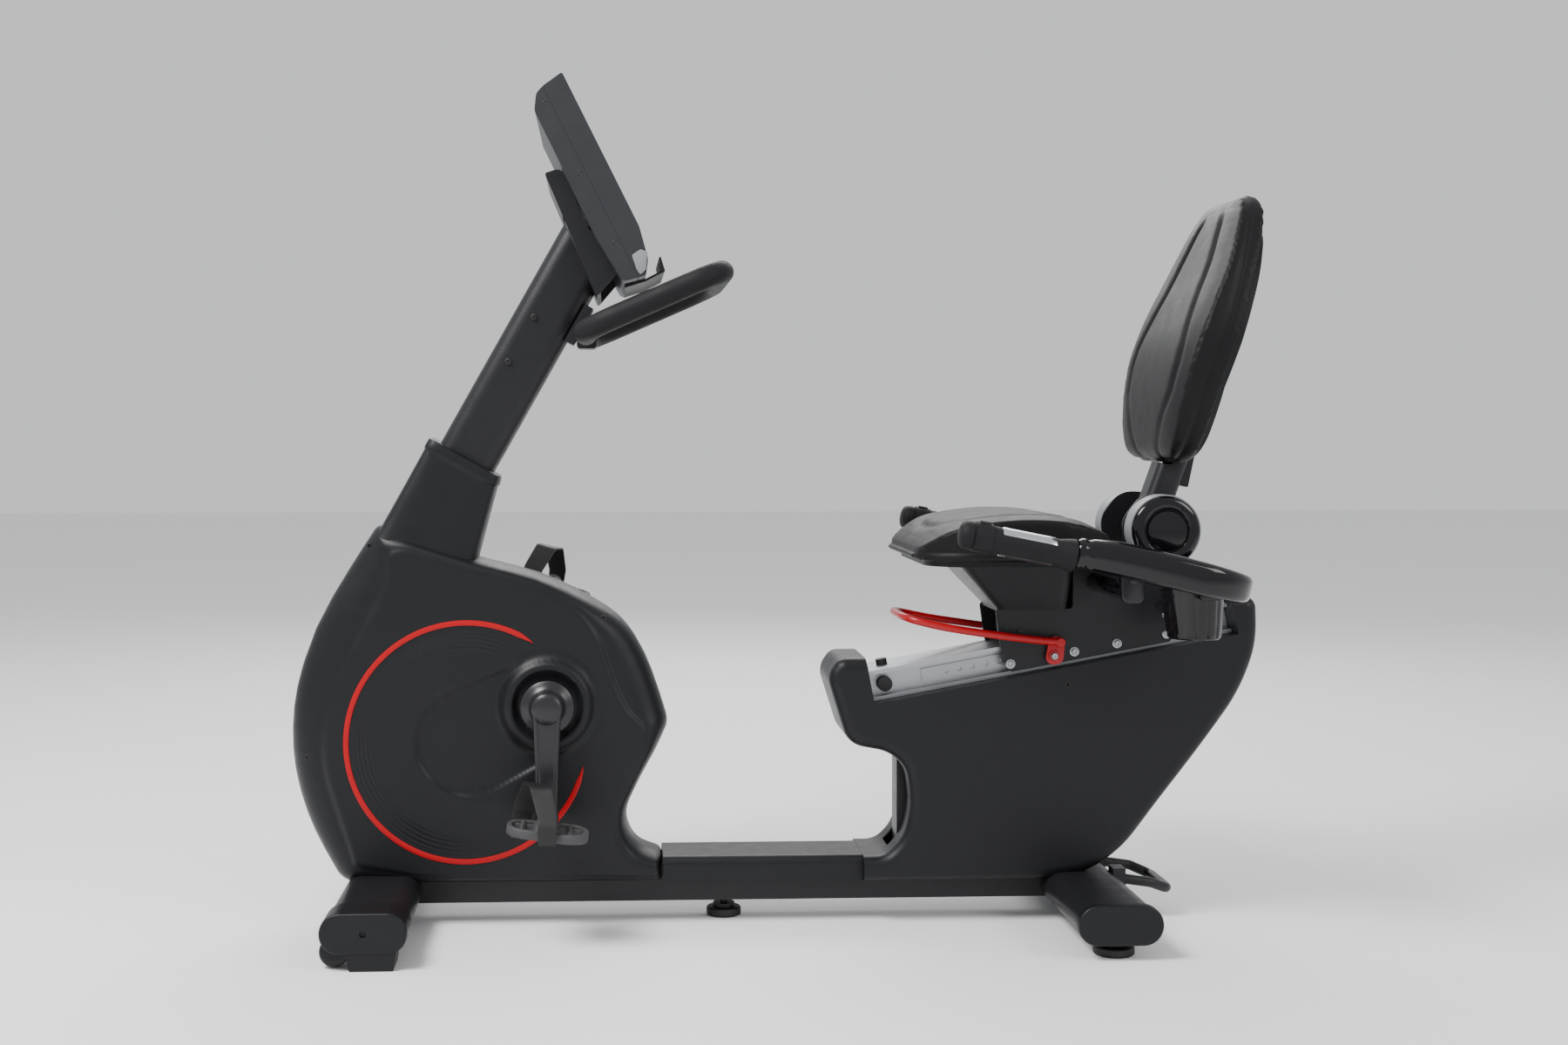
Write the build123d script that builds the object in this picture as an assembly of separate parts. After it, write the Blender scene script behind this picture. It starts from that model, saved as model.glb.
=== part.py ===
from build123d import *
from math import atan2, cos, hypot, inf, pi, radians, sin, tan
import os

# Recumbent exercise bike. Millimetres, +X to the rear (seat end), -Y to the rider's left, +Z up.

# Overall
wall = 3.0                      # moulded cover wall
fit = 0.3                       # gap between pieces that only sit beside each other

# Base
beam_x = (-560, 426)
beam_half = 40
beam_z = (33, 92)
tube_size = (120, 54)           # flat oval stabiliser tube
cap_size = (128, 60)
front_bar = (-623, 54.5)        # stabiliser centres (x, z)
rear_bar = (487, 52.5)
bar_half = 286
front_bar_half = 238            # the front tube stops at its wheel caps
cap_end = 301

# Crank and drive
crank = (-364, 350)
arm_length = 170
pedal_y = 176                   # middle of a pedal
axle_r = 10.0
fly = (-588, 286)
fly_r = 118
pulley_r = 100
small_r = 22
belt_t = 4.0
belt_y = (47, 59)

# Mast and console
mast_dir = (0.489, 0.872)
mast_mid = (-477.5, 770)        # a point on the mast's centre line
mast_size = (98, 60)
face_top = (-339, 1328)         # top edge of the console's face
face_down = (0.449, -0.894)
face_out = (0.894, 0.449)
console_half = 175

# Seat rail
rail_angle = 10.5
rail_start = (146, 397)
rail_length = 592
rail_height = 48
flange_half = 50
web_half = 30

# Seat
plate_y = (62, 66)              # carriage side plates
hub = (611, 625)                # recline axis
lever_pivot = (440, 424)
side_bar_y = 275


# ---- helpers -------------------------------------------------------------------------------

def corner_radii(points, most, room=0.47):
    """Largest usable radius at each corner, no larger than the third value of a point."""
    radii = []
    for i, here in enumerate(points):
        before = points[i - 1]
        after = points[(i + 1) % len(points)]
        a = (here[0] - before[0], here[1] - before[1])
        b = (after[0] - here[0], after[1] - here[1])
        turn = abs(atan2(a[0] * b[1] - a[1] * b[0], a[0] * b[0] + a[1] * b[1]))
        limit = room * min(hypot(*a), hypot(*b)) / tan(turn / 2) if turn > 0.001 else 0
        wanted = here[2] if len(here) > 2 else most
        radii.append(min(wanted, limit))
    return radii


def outline(points, most=inf):
    """Closed outline through a control polygon with rounded corners."""
    flat = [(p[0], p[1]) for p in points]
    return FilletPolyline(*flat, radius=corner_radii(points, most), close=True)


def side_face(points, most=inf):
    """Face in the XZ plane."""
    return make_face(Plane.XZ * outline(points, most))


def slab(points, y0, y1, most=inf):
    """Solid with an XZ outline, from y0 to y1."""
    solid = extrude(side_face(points, most), amount=y1 - y0, dir=(0, 1, 0))
    return Pos(0, y0, 0) * solid


def rod(x, z, r, y0, y1):
    """Round bar across the machine."""
    return Pos(x, (y0 + y1) / 2, z) * Rot(90, 0, 0) * Cylinder(r, y1 - y0)


def ring(x, z, outer, inner, y0, y1):
    return rod(x, z, outer, y0, y1) - rod(x, z, inner, y0 - 1, y1 + 1)


def block(x0, x1, y0, y1, z0, z1):
    size = (x1 - x0, y1 - y0, z1 - z0)
    return Pos((x0 + x1) / 2, (y0 + y1) / 2, (z0 + z1) / 2) * Box(*size)


def both_sides(solid):
    return solid + mirror(solid, about=Plane.XZ)


def tube_path(points, radius):
    """Smooth path through 3D points with rounded bends."""
    return FilletPolyline(*points, radius=radius)


def pipe(path, r):
    """Round bar along a path."""
    start = Plane(origin=path @ 0, z_dir=path % 0)
    return sweep(start * Circle(r), path=path)


def oval_bar(centre, size, y0, y1):
    """Flat oval bar across the machine."""
    section = Plane.XZ * Pos(centre[0], centre[1]) * SlotOverall(*size)
    return Pos(0, y0, 0) * extrude(section, amount=y1 - y0, dir=(0, 1, 0))


def rounded_slab(face, y1, rounding, sharp=None):
    """Face extruded from the middle plane to y1, its outer edge rounded except where sharp."""
    solid = extrude(face, amount=y1, dir=(0, 1, 0))
    edges = solid.faces().sort_by(Axis.Y)[-1].edges()
    if sharp:
        edges = edges.filter_by(lambda edge: not sharp(edge))
    return fillet(edges, rounding)


def moulded_half(points, y1, rounding, sharp=None):
    """Right half of a moulded cover: a tray open at the middle plane."""
    face = side_face(points)
    inside = offset(face, amount=-wall)
    outer = rounded_slab(face, y1, rounding, sharp)
    return outer - rounded_slab(inside, y1 - wall, rounding - wall, sharp)


rail_slope = radians(rail_angle)
rail_along = (cos(rail_slope), 0, sin(rail_slope))
rail_plane = Plane(origin=(rail_start[0], 0, rail_start[1]), x_dir=rail_along,
                   z_dir=(-sin(rail_slope), 0, cos(rail_slope)))
rail_place = Location(rail_plane)


def rail_point(s, h):
    """World (x, z) of a point s along the rail and h above its top."""
    x = rail_start[0] + s * cos(rail_slope) - h * sin(rail_slope)
    z = rail_start[1] + s * sin(rail_slope) + h * cos(rail_slope)
    return (x, z)


def mast_point(t, side=0):
    """World (x, z) of a point t along the mast and side to its rear."""
    x = mast_mid[0] + t * mast_dir[0] + side * mast_dir[1]
    z = mast_mid[1] + t * mast_dir[1] - side * mast_dir[0]
    return (x, z)


def face_point(down, out):
    """World (x, z) of a point down the console's face and out from it."""
    x = face_top[0] + down * face_down[0] + out * face_out[0]
    z = face_top[1] + down * face_down[1] + out * face_out[1]
    return (x, z)


nodes = {}

# ---- base ----------------------------------------------------------------------------------

front_tube = oval_bar(front_bar, tube_size, -front_bar_half, front_bar_half)
rear_tube = oval_bar(rear_bar, tube_size, -bar_half, bar_half)


def stabiliser(centre, half):
    outer = oval_bar(centre, tube_size, -half, half)
    inner = oval_bar(centre, (tube_size[0] - 6, tube_size[1] - 6), -half - 1, half + 1)
    return outer - inner


nodes["front_stabilizer"] = stabiliser(front_bar, front_bar_half)
# The lifting handle is welded to the rear tube
lift_path = tube_path([(545, -60, 66), (600, -60, 58), (632, -48, 45), (632, 48, 45),
                       (600, 60, 58), (545, 60, 66)], 18)
handle = pipe(lift_path, 8) + both_sides(block(536, 556, 45, 75, 48, 84))
rear_stab = stabiliser(rear_bar, bar_half) + (handle - rear_tube)
for side in (-1, 1):
    rear_stab -= Pos(rear_bar[0], side * 255, 25) * Cylinder(6.3, 20)
nodes["rear_stabilizer"] = rear_stab

wheel_x = front_bar[0] - 44
wheel_z = 24
wheel_r = 22


def end_cap(centre, y_in, y_out):
    """Oval end cap with a plug that fills the tube's mouth."""
    plug_size = (tube_size[0] - 6.4, tube_size[1] - 6.4)
    cap = oval_bar(centre, cap_size, y_in, y_out)
    cap = fillet(cap.faces().sort_by(Axis.Y)[-1].edges(), 4)
    return cap + oval_bar(centre, plug_size, y_in - 20, y_in + 1)


# The front caps are deeper: each carries a foot block and the cheeks of a transport wheel
front_cap = end_cap(front_bar, front_bar_half, cap_end)
front_cap += slab([(-652, 40), (-643, 0, 4), (-579, 0, 3), (-573, 40)], 248, cap_end - 2, 8)
front_cap += slab([(-686, 44), (-684, 20, 10), (-667, 12, 10), (-648, 20), (-640, 44)], 252, 290)
front_cap -= rod(wheel_x, wheel_z, 25, 258, 284)
front_cap += rod(wheel_x, wheel_z, 4, 254, 288)
front_cap -= rod(front_bar[0], front_bar[1], 5, cap_end - 4, cap_end + 1)
nodes["front_end_caps"] = both_sides(front_cap)
rear_cap = end_cap(rear_bar, bar_half, cap_end)
nodes["rear_end_caps"] = both_sides(rear_cap)

wheel = ring(wheel_x, wheel_z, wheel_r, 4.05, 260, 282)
wheel = fillet(wheel.edges().filter_by(GeomType.CIRCLE).group_by(SortBy.RADIUS)[-1], 3)
nodes["transport_wheel_right"] = wheel
nodes["transport_wheel_left"] = mirror(wheel, about=Plane.XZ)


def levelling_foot(x, y, r, top):
    """Rubber-soled disc on a threaded stem."""
    disc = Pos(x, y, 7) * Cylinder(r, 14)
    disc = fillet(disc.edges().filter_by(GeomType.CIRCLE), 4)
    collar = Pos(x, y, 17) * Cylinder(r * 0.62, 6)
    stem = Pos(x, y, (14 + top) / 2) * Cylinder(6.2, top - 14)
    return disc + collar + stem


nodes["foot_rear_left"] = levelling_foot(rear_bar[0], -255, 31, 42)
nodes["foot_rear_right"] = levelling_foot(rear_bar[0], 255, 31, 42)
nodes["foot_middle"] = levelling_foot(-82, 0, 28, 60)

# ---- main frame ----------------------------------------------------------------------------

plate_out = mast_size[1] / 2 + fit
beam = block(beam_x[0] - 30, beam_x[1] + 30, -beam_half, beam_half, *beam_z)
beam -= block(beam_x[0] + 6, beam_x[1] - 6, -beam_half + 3, beam_half - 3, beam_z[0] + 3, beam_z[1] - 3)
gusset = slab([(-560, 60), (-300, 60), (-316, 385, 30), (-405, 402, 40), (-468, 556, 20),
               (-604, 604, 10), (-680, 470, 40), (-652, 250, 80)], plate_out, plate_out + 4, 20)
gusset -= rod(fly[0], fly[1], 8.0, 20, 50)
gusset -= rod(-440, 190, 62, 20, 50)
gusset -= rod(-560, 470, 40, 20, 50)
frame = beam + both_sides(gusset)
shell_tube = rod(crank[0], crank[1], 30, -43, 43)
frame += shell_tube
frame -= rod(crank[0], crank[1], 12, -50, 50)
frame -= both_sides(rod(crank[0], crank[1], 21, 31, 50))
front_post = slab([(196, 88), (262, 88), (262, 420), (196, 420)], -25, 25, 1)
rear_post = slab([(348, 88), (424, 88), (706, 470), (632, 470)], -25, 25, 1)
frame += front_post + rear_post
frame -= slab([(199, 80), (259, 80), (259, 420), (199, 420)], -22, 22, 1)
frame -= slab([(352, 80), (416, 80), (420, 92), (700, 468), (638, 468), (352, 100)], -22, 22, 1)
under_rail = rail_place * Pos(rail_length / 2, 0, 150 - rail_height) * Box(rail_length + 400, 200, 300)
frame -= under_rail
frame -= front_tube + rear_tube
frame -= Pos(-82, 0, 40) * Cylinder(6.3, 20)
nodes["main_frame"] = frame

# ---- mast and boot -------------------------------------------------------------------------

mast_place = Plane(origin=(mast_mid[0], 0, mast_mid[1]), x_dir=(mast_dir[1], 0, -mast_dir[0]),
                   z_dir=(mast_dir[0], 0, mast_dir[1]))
mast_low = -300
mast_high = 460


def mast_bar(grow, t0, t1, corner=26):
    section = RectangleRounded(mast_size[0] + 2 * grow, mast_size[1] + 2 * grow, corner + grow)
    return extrude(mast_place.offset(t0) * section, amount=t1 - t0)


bracket_low = (-286, 990)
bracket_high = (-367, 1181)
mast_solid = mast_bar(0, mast_low, mast_high)
mast_tube = mast_solid - mast_bar(-3, mast_low - 1, mast_high + 1)
behind = slab([bracket_low, bracket_high, (-420, 1400), (200, 1400), (200, 700), (-163, 700)],
              -200, 200, 1)
mast = mast_tube - behind
saddle = slab([mast_point(205, 44), mast_point(272, 44), mast_point(272, 60), mast_point(205, 60)],
              -26, 26, 2)
bar_low = (-304, 936)           # handlebar tube centre at the mast
saddle -= rod(bar_low[0], bar_low[1], 12.7, -40, 40)
mast += saddle - mast_solid
nodes["mast"] = mast

# ---- drive covers --------------------------------------------------------------------------

drive_outline = [(-690, 64, 40), (-745, 160), (-772, 260), (-770, 360), (-737, 470), (-679, 568),
                 (-636, 634, 14), (-560, 607), (-467, 576), (-380, 556), (-300, 518), (-244, 482),
                 (-208, 424), (-186, 362), (-172, 316, 30), (-190, 276), (-219, 226), (-244, 170),
                 (-226, 122), (-182, 106, 12), (-182, 66, 3), (-300, 64)]


def drive_half():
    """Right drive cover as a tray with a raised crank boss."""
    low = Plane.XZ.offset(-60) * Pos(*crank) * Circle(90)
    high = Plane.XZ.offset(-86) * Pos(*crank) * Circle(62)
    boss = loft([low, high])
    hollow = rounded_slab(offset(side_face(drive_outline), amount=-wall), 66 - wall, 16 - wall)
    shape = rounded_slab(side_face(drive_outline), 66, 16) + boss
    shape -= hollow + Pos(0, -wall, 0) * boss
    return shape - rod(crank[0], crank[1], 33, 40, 120)


drive_solid = extrude(side_face(drive_outline), amount=66, dir=(0, 1, 0))
drive_solid = both_sides(drive_solid)
drive_right = drive_half() - mast_bar(fit, mast_low, 0) - front_tube
drive_right -= block(-700, -150, -beam_half - fit, beam_half + fit, 20, beam_z[1] + fit)
nodes["drive_cover_right"] = drive_right
nodes["drive_cover_left"] = mirror(drive_right, about=Plane.XZ)

boot_low = Plane(origin=(-553, 0, 604), x_dir=(0.933, 0, -0.361), z_dir=(0.361, 0, 0.933))
boot_high = Plane(origin=(-497, 0, 741), x_dir=(mast_dir[1], 0, -mast_dir[0]),
                  z_dir=(mast_dir[0], 0, mast_dir[1]))
boot = loft([boot_low * RectangleRounded(166, 112, 40), boot_high * RectangleRounded(126, 84, 34)])
boot_in = loft([boot_low.offset(-1) * RectangleRounded(160, 106, 37),
                boot_high.offset(-4) * RectangleRounded(118, 78, 31)])
boot = boot - boot_in - mast_bar(fit, -300, 300) - drive_solid
nodes["mast_boot"] = boot

ring_mid = (-492, 292)
ring_r = 188


def face_arc(start, sweep_angle, width):
    """Flat band on the left cover's face."""
    path = Plane.XZ * Pos(*ring_mid) * CenterArc((0, 0), ring_r, start, sweep_angle)
    band = sweep(Plane(origin=path @ 0, x_dir=(0, 1, 0), z_dir=path % 0) * Rectangle(2, width), path=path)
    return Pos(0, -67, 0) * band


nodes["accent_ring"] = face_arc(56, 292, 8)

hood = block(-181.5, 136.5, -60, 60, 66, 106)
hood = fillet(hood.edges().filter_by(Axis.X).group_by(Axis.Z)[-1], 14)
hood_in = block(-190, 145, -57, 57, 60, 103)
hood_in = fillet(hood_in.edges().filter_by(Axis.X).group_by(Axis.Z)[-1], 11)
nodes["beam_cover"] = hood - hood_in

# ---- rear covers ---------------------------------------------------------------------------

under_front = rail_point(-2, -rail_height - 0.5)
under_rear = rail_point(rail_length + 1, -rail_height - 0.5)
nose_top = rail_point(-2, 25)
tail_top = rail_point(rail_length + 1, 12)
seat_outline = [(78, 392), (98, 421, 22), nose_top + (0,),
                (under_front[0], under_front[1], 0), (under_rear[0], under_rear[1], 0),
                tail_top + (0,), (770, 518, 24), (772.2, 440), (742, 362), (676, 272),
                (606, 184), (556, 118), (500, 78), (420, 66), (137, 66, 0), (137, 106, 0),
                (172, 106), (200, 134), (212, 190), (204, 248), (176, 272), (112, 284, 40)]


def rail_side(edge):
    """True for the cover edges that run beside the rail or meet the beam cover."""
    at = edge.center()
    by_nose = abs(at.X - under_front[0] + 6) < 10 and at.Z > 340
    by_tail = abs(at.X - under_rear[0] + 5) < 10 and at.Z > 440
    return by_nose or by_tail or abs(at.X - 137) < 6 or edge.length > 500


def seat_half():
    shape = moulded_half(seat_outline, 78, 18, rail_side)
    shape -= block(130, 600, -beam_half - fit, beam_half + fit, 20, beam_z[1] + fit)
    shape -= rear_tube
    shape -= block(180, 720, -26, 26, 60, 520)
    shape -= lift_clear
    return shape


lift_clear = both_sides(block(530, 560, 40, 80, 40, 90))
seat_right = seat_half()
nodes["seat_cover_right"] = seat_right
nodes["seat_cover_left"] = mirror(seat_right, about=Plane.XZ)

# ---- crank, drive and pedals ---------------------------------------------------------------

axle = rod(crank[0], crank[1], axle_r, -104, 104)
axle += rod(crank[0], crank[1], 14, 62, 70)
nodes["crank_axle"] = axle
bearing = ring(crank[0], crank[1], 21, axle_r + 0.05, 31, 43)
fly_bearing = ring(fly[0], fly[1], 8.0, 5.05, plate_out, plate_out + 4)
nodes["bearings"] = both_sides(bearing + fly_bearing)

pulley = rod(crank[0], crank[1], pulley_r, *belt_y)
for k in range(6):
    turn = radians(60 * k)
    pulley -= rod(crank[0] + 60 * cos(turn), crank[1] + 60 * sin(turn), 22, 40, 70)
pulley += rod(crank[0], crank[1], 24, belt_y[0] - 2, 62)
pulley -= rod(crank[0], crank[1], axle_r, 30, 80)
nodes["drive_pulley"] = pulley

wheel = rod(fly[0], fly[1], fly_r, -26, 2)
wheel -= ring(fly[0], fly[1], fly_r - 22, 26, -30, -18)
wheel -= ring(fly[0], fly[1], fly_r - 22, 26, -6, 6)
wheel += rod(fly[0], fly[1], 5, -46, 62)
wheel += rod(fly[0], fly[1], small_r, *belt_y)
wheel -= rod(fly[0], fly[1], 3, -50, 70)
nodes["flywheel"] = wheel

gap = 0.3
span = hypot(crank[0] - fly[0], crank[1] - fly[1])
tilt = atan2(crank[1] - fly[1], crank[0] - fly[0])
wrap = atan2(pulley_r - small_r, (span ** 2 - (pulley_r - small_r) ** 2) ** 0.5)


def tangent_points(extra):
    """Ends of the two straight runs, on the crank side and the flywheel side."""
    points = []
    for sign in (1, -1):
        a = tilt + sign * (pi / 2 + wrap)
        for centre, r in ((crank, pulley_r + extra), (fly, small_r + extra)):
            points.append((centre[0] + r * cos(a), centre[1] + r * sin(a)))
    return points


def belt_outline(extra):
    top, top_fly, low, low_fly = tangent_points(extra)
    far = (crank[0] + (pulley_r + extra) * cos(tilt), crank[1] + (pulley_r + extra) * sin(tilt))
    near = (fly[0] - (small_r + extra) * cos(tilt), fly[1] - (small_r + extra) * sin(tilt))
    line = Polyline(top_fly, top) + ThreePointArc(top, far, low)
    line += Polyline(low, low_fly) + ThreePointArc(low_fly, near, top_fly)
    return Plane.XZ * line


belt_face = make_face(belt_outline(gap + belt_t)) - make_face(belt_outline(gap))
belt = extrude(belt_face, amount=belt_y[1] - belt_y[0] - 2, dir=(0, 1, 0))
nodes["drive_belt"] = Pos(0, belt_y[0] + 1, 0) * belt

brake = slab([(fly[0] - 100, fly[1] + 128), (fly[0] + 30, fly[1] + 128), (fly[0] + 30, fly[1] + 160),
              (fly[0] - 100, fly[1] + 160)], -27, 3, 6)
for k in range(4):
    brake += block(fly[0] - 92 + 30 * k, fly[0] - 72 + 30 * k, -24, 0, fly[1] + 121, fly[1] + 129)
nodes["brake_unit"] = brake

# Crank arm hanging straight down, pedal thread at its end
arm = rod(crank[0], crank[1], 27, 92, 116)
arm = fillet(arm.faces().sort_by(Axis.Y)[-1].edges(), 6)
stem = slab([(-21, 6), (21, 6), (17, -arm_length), (-17, -arm_length)], 98, 113, 6)
eye = rod(0, -arm_length, 18, 98, 116)
arm += Pos(crank[0], 0, crank[1]) * fillet(stem.faces().sort_by(Axis.Y)[-1].edges(), 4)
arm += Pos(crank[0], 0, crank[1]) * eye
arm -= rod(crank[0], crank[1], axle_r, 90, 104)
arm -= rod(crank[0], crank[1] - arm_length, 7.0, 90, 120)
down_right = arm
nodes["crank_arm_left"] = mirror(down_right, about=Plane.XZ)
spin = Pos(crank[0], 0, crank[1]) * Rot(0, 180, 0) * Pos(-crank[0], 0, -crank[1])
nodes["crank_arm_right"] = spin * down_right


def pedal_body():
    """Right-hand pedal about its spindle at the origin, inner face towards -Y."""
    plan = Pos(4, 0) * RectangleRounded(112, 96, 26)
    body = Pos(0, 0, -20) * extrude(plan, amount=22)
    body = fillet(body.faces().sort_by(Axis.Z)[0].edges(), 6)
    for sign in (-1, 1):
        body -= Pos(4 + sign * 30, 0, 0) * Box(22, 52, 60)
    body -= rod(0, 0, 9.05, -60, 32)
    body += ring(0, 0, 15, 9.05, -40, 32)
    return body


def pedal_spindle():
    """Spindle that screws into the arm's eye, with the pedal turning on it."""
    pin = rod(0, 0, 9.0, -59, 30)
    pin += rod(0, 0, 11, -59, -51)
    return pin + rod(0, 0, 7.0, -78, -58)


def pedal_strap():
    """Rubber strap arched over the pedal's tread."""
    high = 62
    path = Plane.YZ.offset(-27) * FilletPolyline((-50.5, -16), (-50.5, 10), (-18, high), (18, high),
                                                 (50.5, 10), (50.5, -16), radius=14)
    band = sweep(Plane(origin=path @ 0, x_dir=(1, 0, 0), z_dir=path % 0) * Rectangle(30, 3), path=path)
    return band


def place_pedal(solid, side, angle, tip):
    """Pedal piece put on the arm's eye on one side, tipped about the spindle."""
    z = crank[1] + tip * arm_length
    piece = Rot(0, angle, 0) * solid
    if side < 0:
        piece = mirror(piece, about=Plane.XZ)
    return Pos(crank[0], side * pedal_y, z) * piece


spindles = []
for name, side, angle, tip in (("left", -1, 7, -1), ("right", 1, 14, 1)):
    nodes["pedal_" + name] = place_pedal(pedal_body(), side, angle, tip)
    nodes["pedal_strap_" + name] = place_pedal(pedal_strap(), side, angle, tip)
    spindles.append(place_pedal(pedal_spindle(), side, angle, tip))
nodes["pedal_spindles"] = spindles[0] + spindles[1]

# ---- console and handlebar -----------------------------------------------------------------

def console_slab(points, half, most=6):
    """Solid across the machine from (down, out) points on the console's profile."""
    flat = [face_point(*p[:2]) + tuple(p[2:]) for p in points]
    return slab(flat, -half, half, most)


seam = -36
back_shape = [(6, seam - 0.3, 1), (12, -50, 12), (34, -64, 16), (250, -66, 20), (326, -60, 8),
              (331, seam - 0.3, 1)]
back = console_slab(back_shape, console_half)
back_in = [(10, seam, 1), (36, -60, 14), (250, -62, 18), (322, -56, 6), (327, seam, 1)]
back -= console_slab(back_in, console_half - wall)
nodes["console_back"] = back
front = console_slab([(0, 0, 3), (262, 0, 30), (312, -10, 20), (333, -24, 6), (331, seam, 1),
                      (6, seam, 1)], console_half)
front_in = console_slab([(4, -3, 2), (262, -3, 30), (308, -13, 18), (328, -26, 6), (328, seam - 1, 1),
                         (9, seam - 1, 1)], console_half - wall)
front -= front_in
screen = console_slab([(26, -1.2), (176, -1.2), (176, 4), (26, 4)], 132, 0)
keys = console_slab([(190, -1.2), (258, -1.2), (258, 4), (190, 4)], 150, 0)
front -= screen + keys
nodes["console_front"] = front
glass = console_slab([(26.3, -1.2), (175.7, -1.2), (175.7, -0.1), (26.3, -0.1)], 131.7, 0)
pad = console_slab([(190.3, -1.2), (257.7, -1.2), (257.7, -0.3), (190.3, -0.3)], 149.7, 0)
nodes["console_overlay"] = glass + pad

tray = slab([bracket_high, (-341, 1190, 14), (-326, 1158), (-300, 1096), (-254, 1060, 14),
             (-252, 1030, 8), bracket_low], -124, 124, 3)
console_full = console_slab(back_shape, console_half) + console_slab(
    [(0, 0, 3), (262, 0, 30), (312, -10, 20), (333, -24, 6), (331, seam - 0.3, 1), (6, seam - 0.3, 1)],
    console_half)
tray_in = slab([face_point(60, -62), face_point(60, 40), face_point(345, 40), face_point(345, -96),
                face_point(190, -96)], -120, 120, 2)
tray -= tray_in
tray -= console_full
nodes["console_bracket"] = tray

ledge = slab([(-243, 1005), (-211, 1015), (-180, 1031, 2), (-187, 1054, 0), (-189.5, 1053, 0),
              (-184, 1033, 1), (-210, 1019.5), (-243, 1009.5)], -112, 112, 0.5)
ledge -= console_full
nodes["tablet_rest"] = ledge

lean = (0.916, 0.402)
bar_reach = 232
loop_half = 172


def bar_at(w, y):
    return (bar_low[0] + w * lean[0], y, bar_low[1] + w * lean[1])


bar_path = tube_path([bar_at(0, -8), bar_at(0, -loop_half), bar_at(bar_reach, -loop_half),
                      bar_at(bar_reach, loop_half), bar_at(0, loop_half), bar_at(0, 8)], 55)
bar_tube = pipe(bar_path, 12.7) - pipe(bar_path, 10.7)
bar_tube += rod(bar_low[0], bar_low[1], 12.7, -9, 9)
strap = slab([(bar_low[0] - 15, bar_low[1] - 22), (bar_low[0] + 17, bar_low[1] - 22),
              (bar_low[0] + 17, bar_low[1] + 22), (bar_low[0] - 15, bar_low[1] + 22)], -26, 26, 6)
grip_path = tube_path([bar_at(0, -58), bar_at(0, -loop_half), bar_at(bar_reach, -loop_half),
                       bar_at(bar_reach, loop_half), bar_at(0, loop_half), bar_at(0, 58)], 55)
nodes["handlebar"] = bar_tube + (strap - saddle - mast_solid)
nodes["handlebar_grip"] = pipe(grip_path, 18) - pipe(bar_path, 12.7)

# ---- seat rail -----------------------------------------------------------------------------

inside = web_half - 4
section = [(-flange_half, 0), (flange_half, 0), (flange_half, -6), (web_half, -6), (web_half, -42),
           (flange_half, -42), (flange_half, -rail_height), (-flange_half, -rail_height),
           (-flange_half, -42), (-web_half, -42), (-web_half, -6), (-flange_half, -6)]
hollow = [(-inside, -6), (inside, -6), (inside, -42), (-inside, -42)]
end_plane = Plane(origin=(0, 0, 0), x_dir=(0, 1, 0), z_dir=(1, 0, 0))
profile = make_face(Polyline(*section, close=True)) - make_face(Polyline(*hollow, close=True))
rail = rail_place * extrude(end_plane * profile, amount=rail_length)
nodes["seat_rail"] = rail


def rail_block(s0, s1, y0, y1, h0, h1):
    return rail_place * block(s0, s1, y0, y1, h0, h1)


def rail_rod(s, h, r, y0, y1):
    return rail_place * rod(s, h, r, y0, y1)


strip = rail_block(86, 330, -web_half - 3, -web_half, -36, -14)
for k in range(9):
    strip -= rail_rod(126 + 22 * k, -25, 4, -web_half - 4, -web_half + 1)
nodes["index_strip"] = strip
stops = rail_rod(24, -25, 12, -web_half - 16, -web_half) + rail_rod(24, -25, 12, web_half, web_half + 16)
stops += rail_place * Pos(30, 0, 5) * Cylinder(9, 10)
nodes["rail_bumpers"] = stops

# ---- seat carriage -------------------------------------------------------------------------

side_plate = [(348, 498, 6), (356, 440, 20), (364, 412), (371, 397, 8), (632, 445, 8), (636, 466, 8),
              (616, 482, 20), (622, 560), (662, 596, 30), (668, 640, 40), (640, 680, 40),
              (585, 682, 40), (552, 640, 40), (556, 600, 20), (541, 571.5, 8), (474, 571.5, 8),
              (473, 498, 6)]
cheek = slab(side_plate, *plate_y, 10)
cheek -= rod(hub[0], hub[1], 15.05, 50, 80)
cheek -= rod(lever_pivot[0], lever_pivot[1], 6.06, 50, 80)
roller_s = (250, 480)
roller_r = 18
cross_z = 541
carriage = both_sides(cheek)
carriage += block(352, 464, -plate_y[0], plate_y[0], 494, 498)
carriage += block(566, 598, -plate_y[0], plate_y[0], 528, 532)
for s in roller_s:
    at = rail_point(s, roller_r + gap)
    carriage -= rod(at[0], at[1], 6.05, -80, 80)
nodes["seat_carriage"] = carriage

for name, s in (("rollers_front", roller_s[0]), ("rollers_rear", roller_s[1])):
    pair = rail_rod(s, roller_r + gap, 6, -68, 68)
    pair += both_sides(rail_rod(s, roller_r + gap, roller_r, 24, 46))
    nodes[name] = pair
glides = both_sides(rail_block(232, 270, 34, plate_y[0], -15, -6 - gap))
glides += both_sides(rail_block(462, 500, 34, plate_y[0], -15, -6 - gap))
nodes["glide_pads"] = glides

cushion_under = 584
tub = loft([Plane.XY.offset(498) * Pos(407, 0) * RectangleRounded(112, 150, 14),
            Plane.XY.offset(575) * Pos(373, 0) * RectangleRounded(186, 240, 24)])
tub_in = loft([Plane.XY.offset(496) * Pos(407.9, 0) * RectangleRounded(105, 143, 11),
               Plane.XY.offset(568) * Pos(376.1, 0) * RectangleRounded(174, 228, 21)])
pan = extrude(Plane.XY.offset(572) * Pos(375, 0) * RectangleRounded(300, 330, 60), amount=8)
nodes["seat_pedestal"] = (tub - tub_in) + pan

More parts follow.
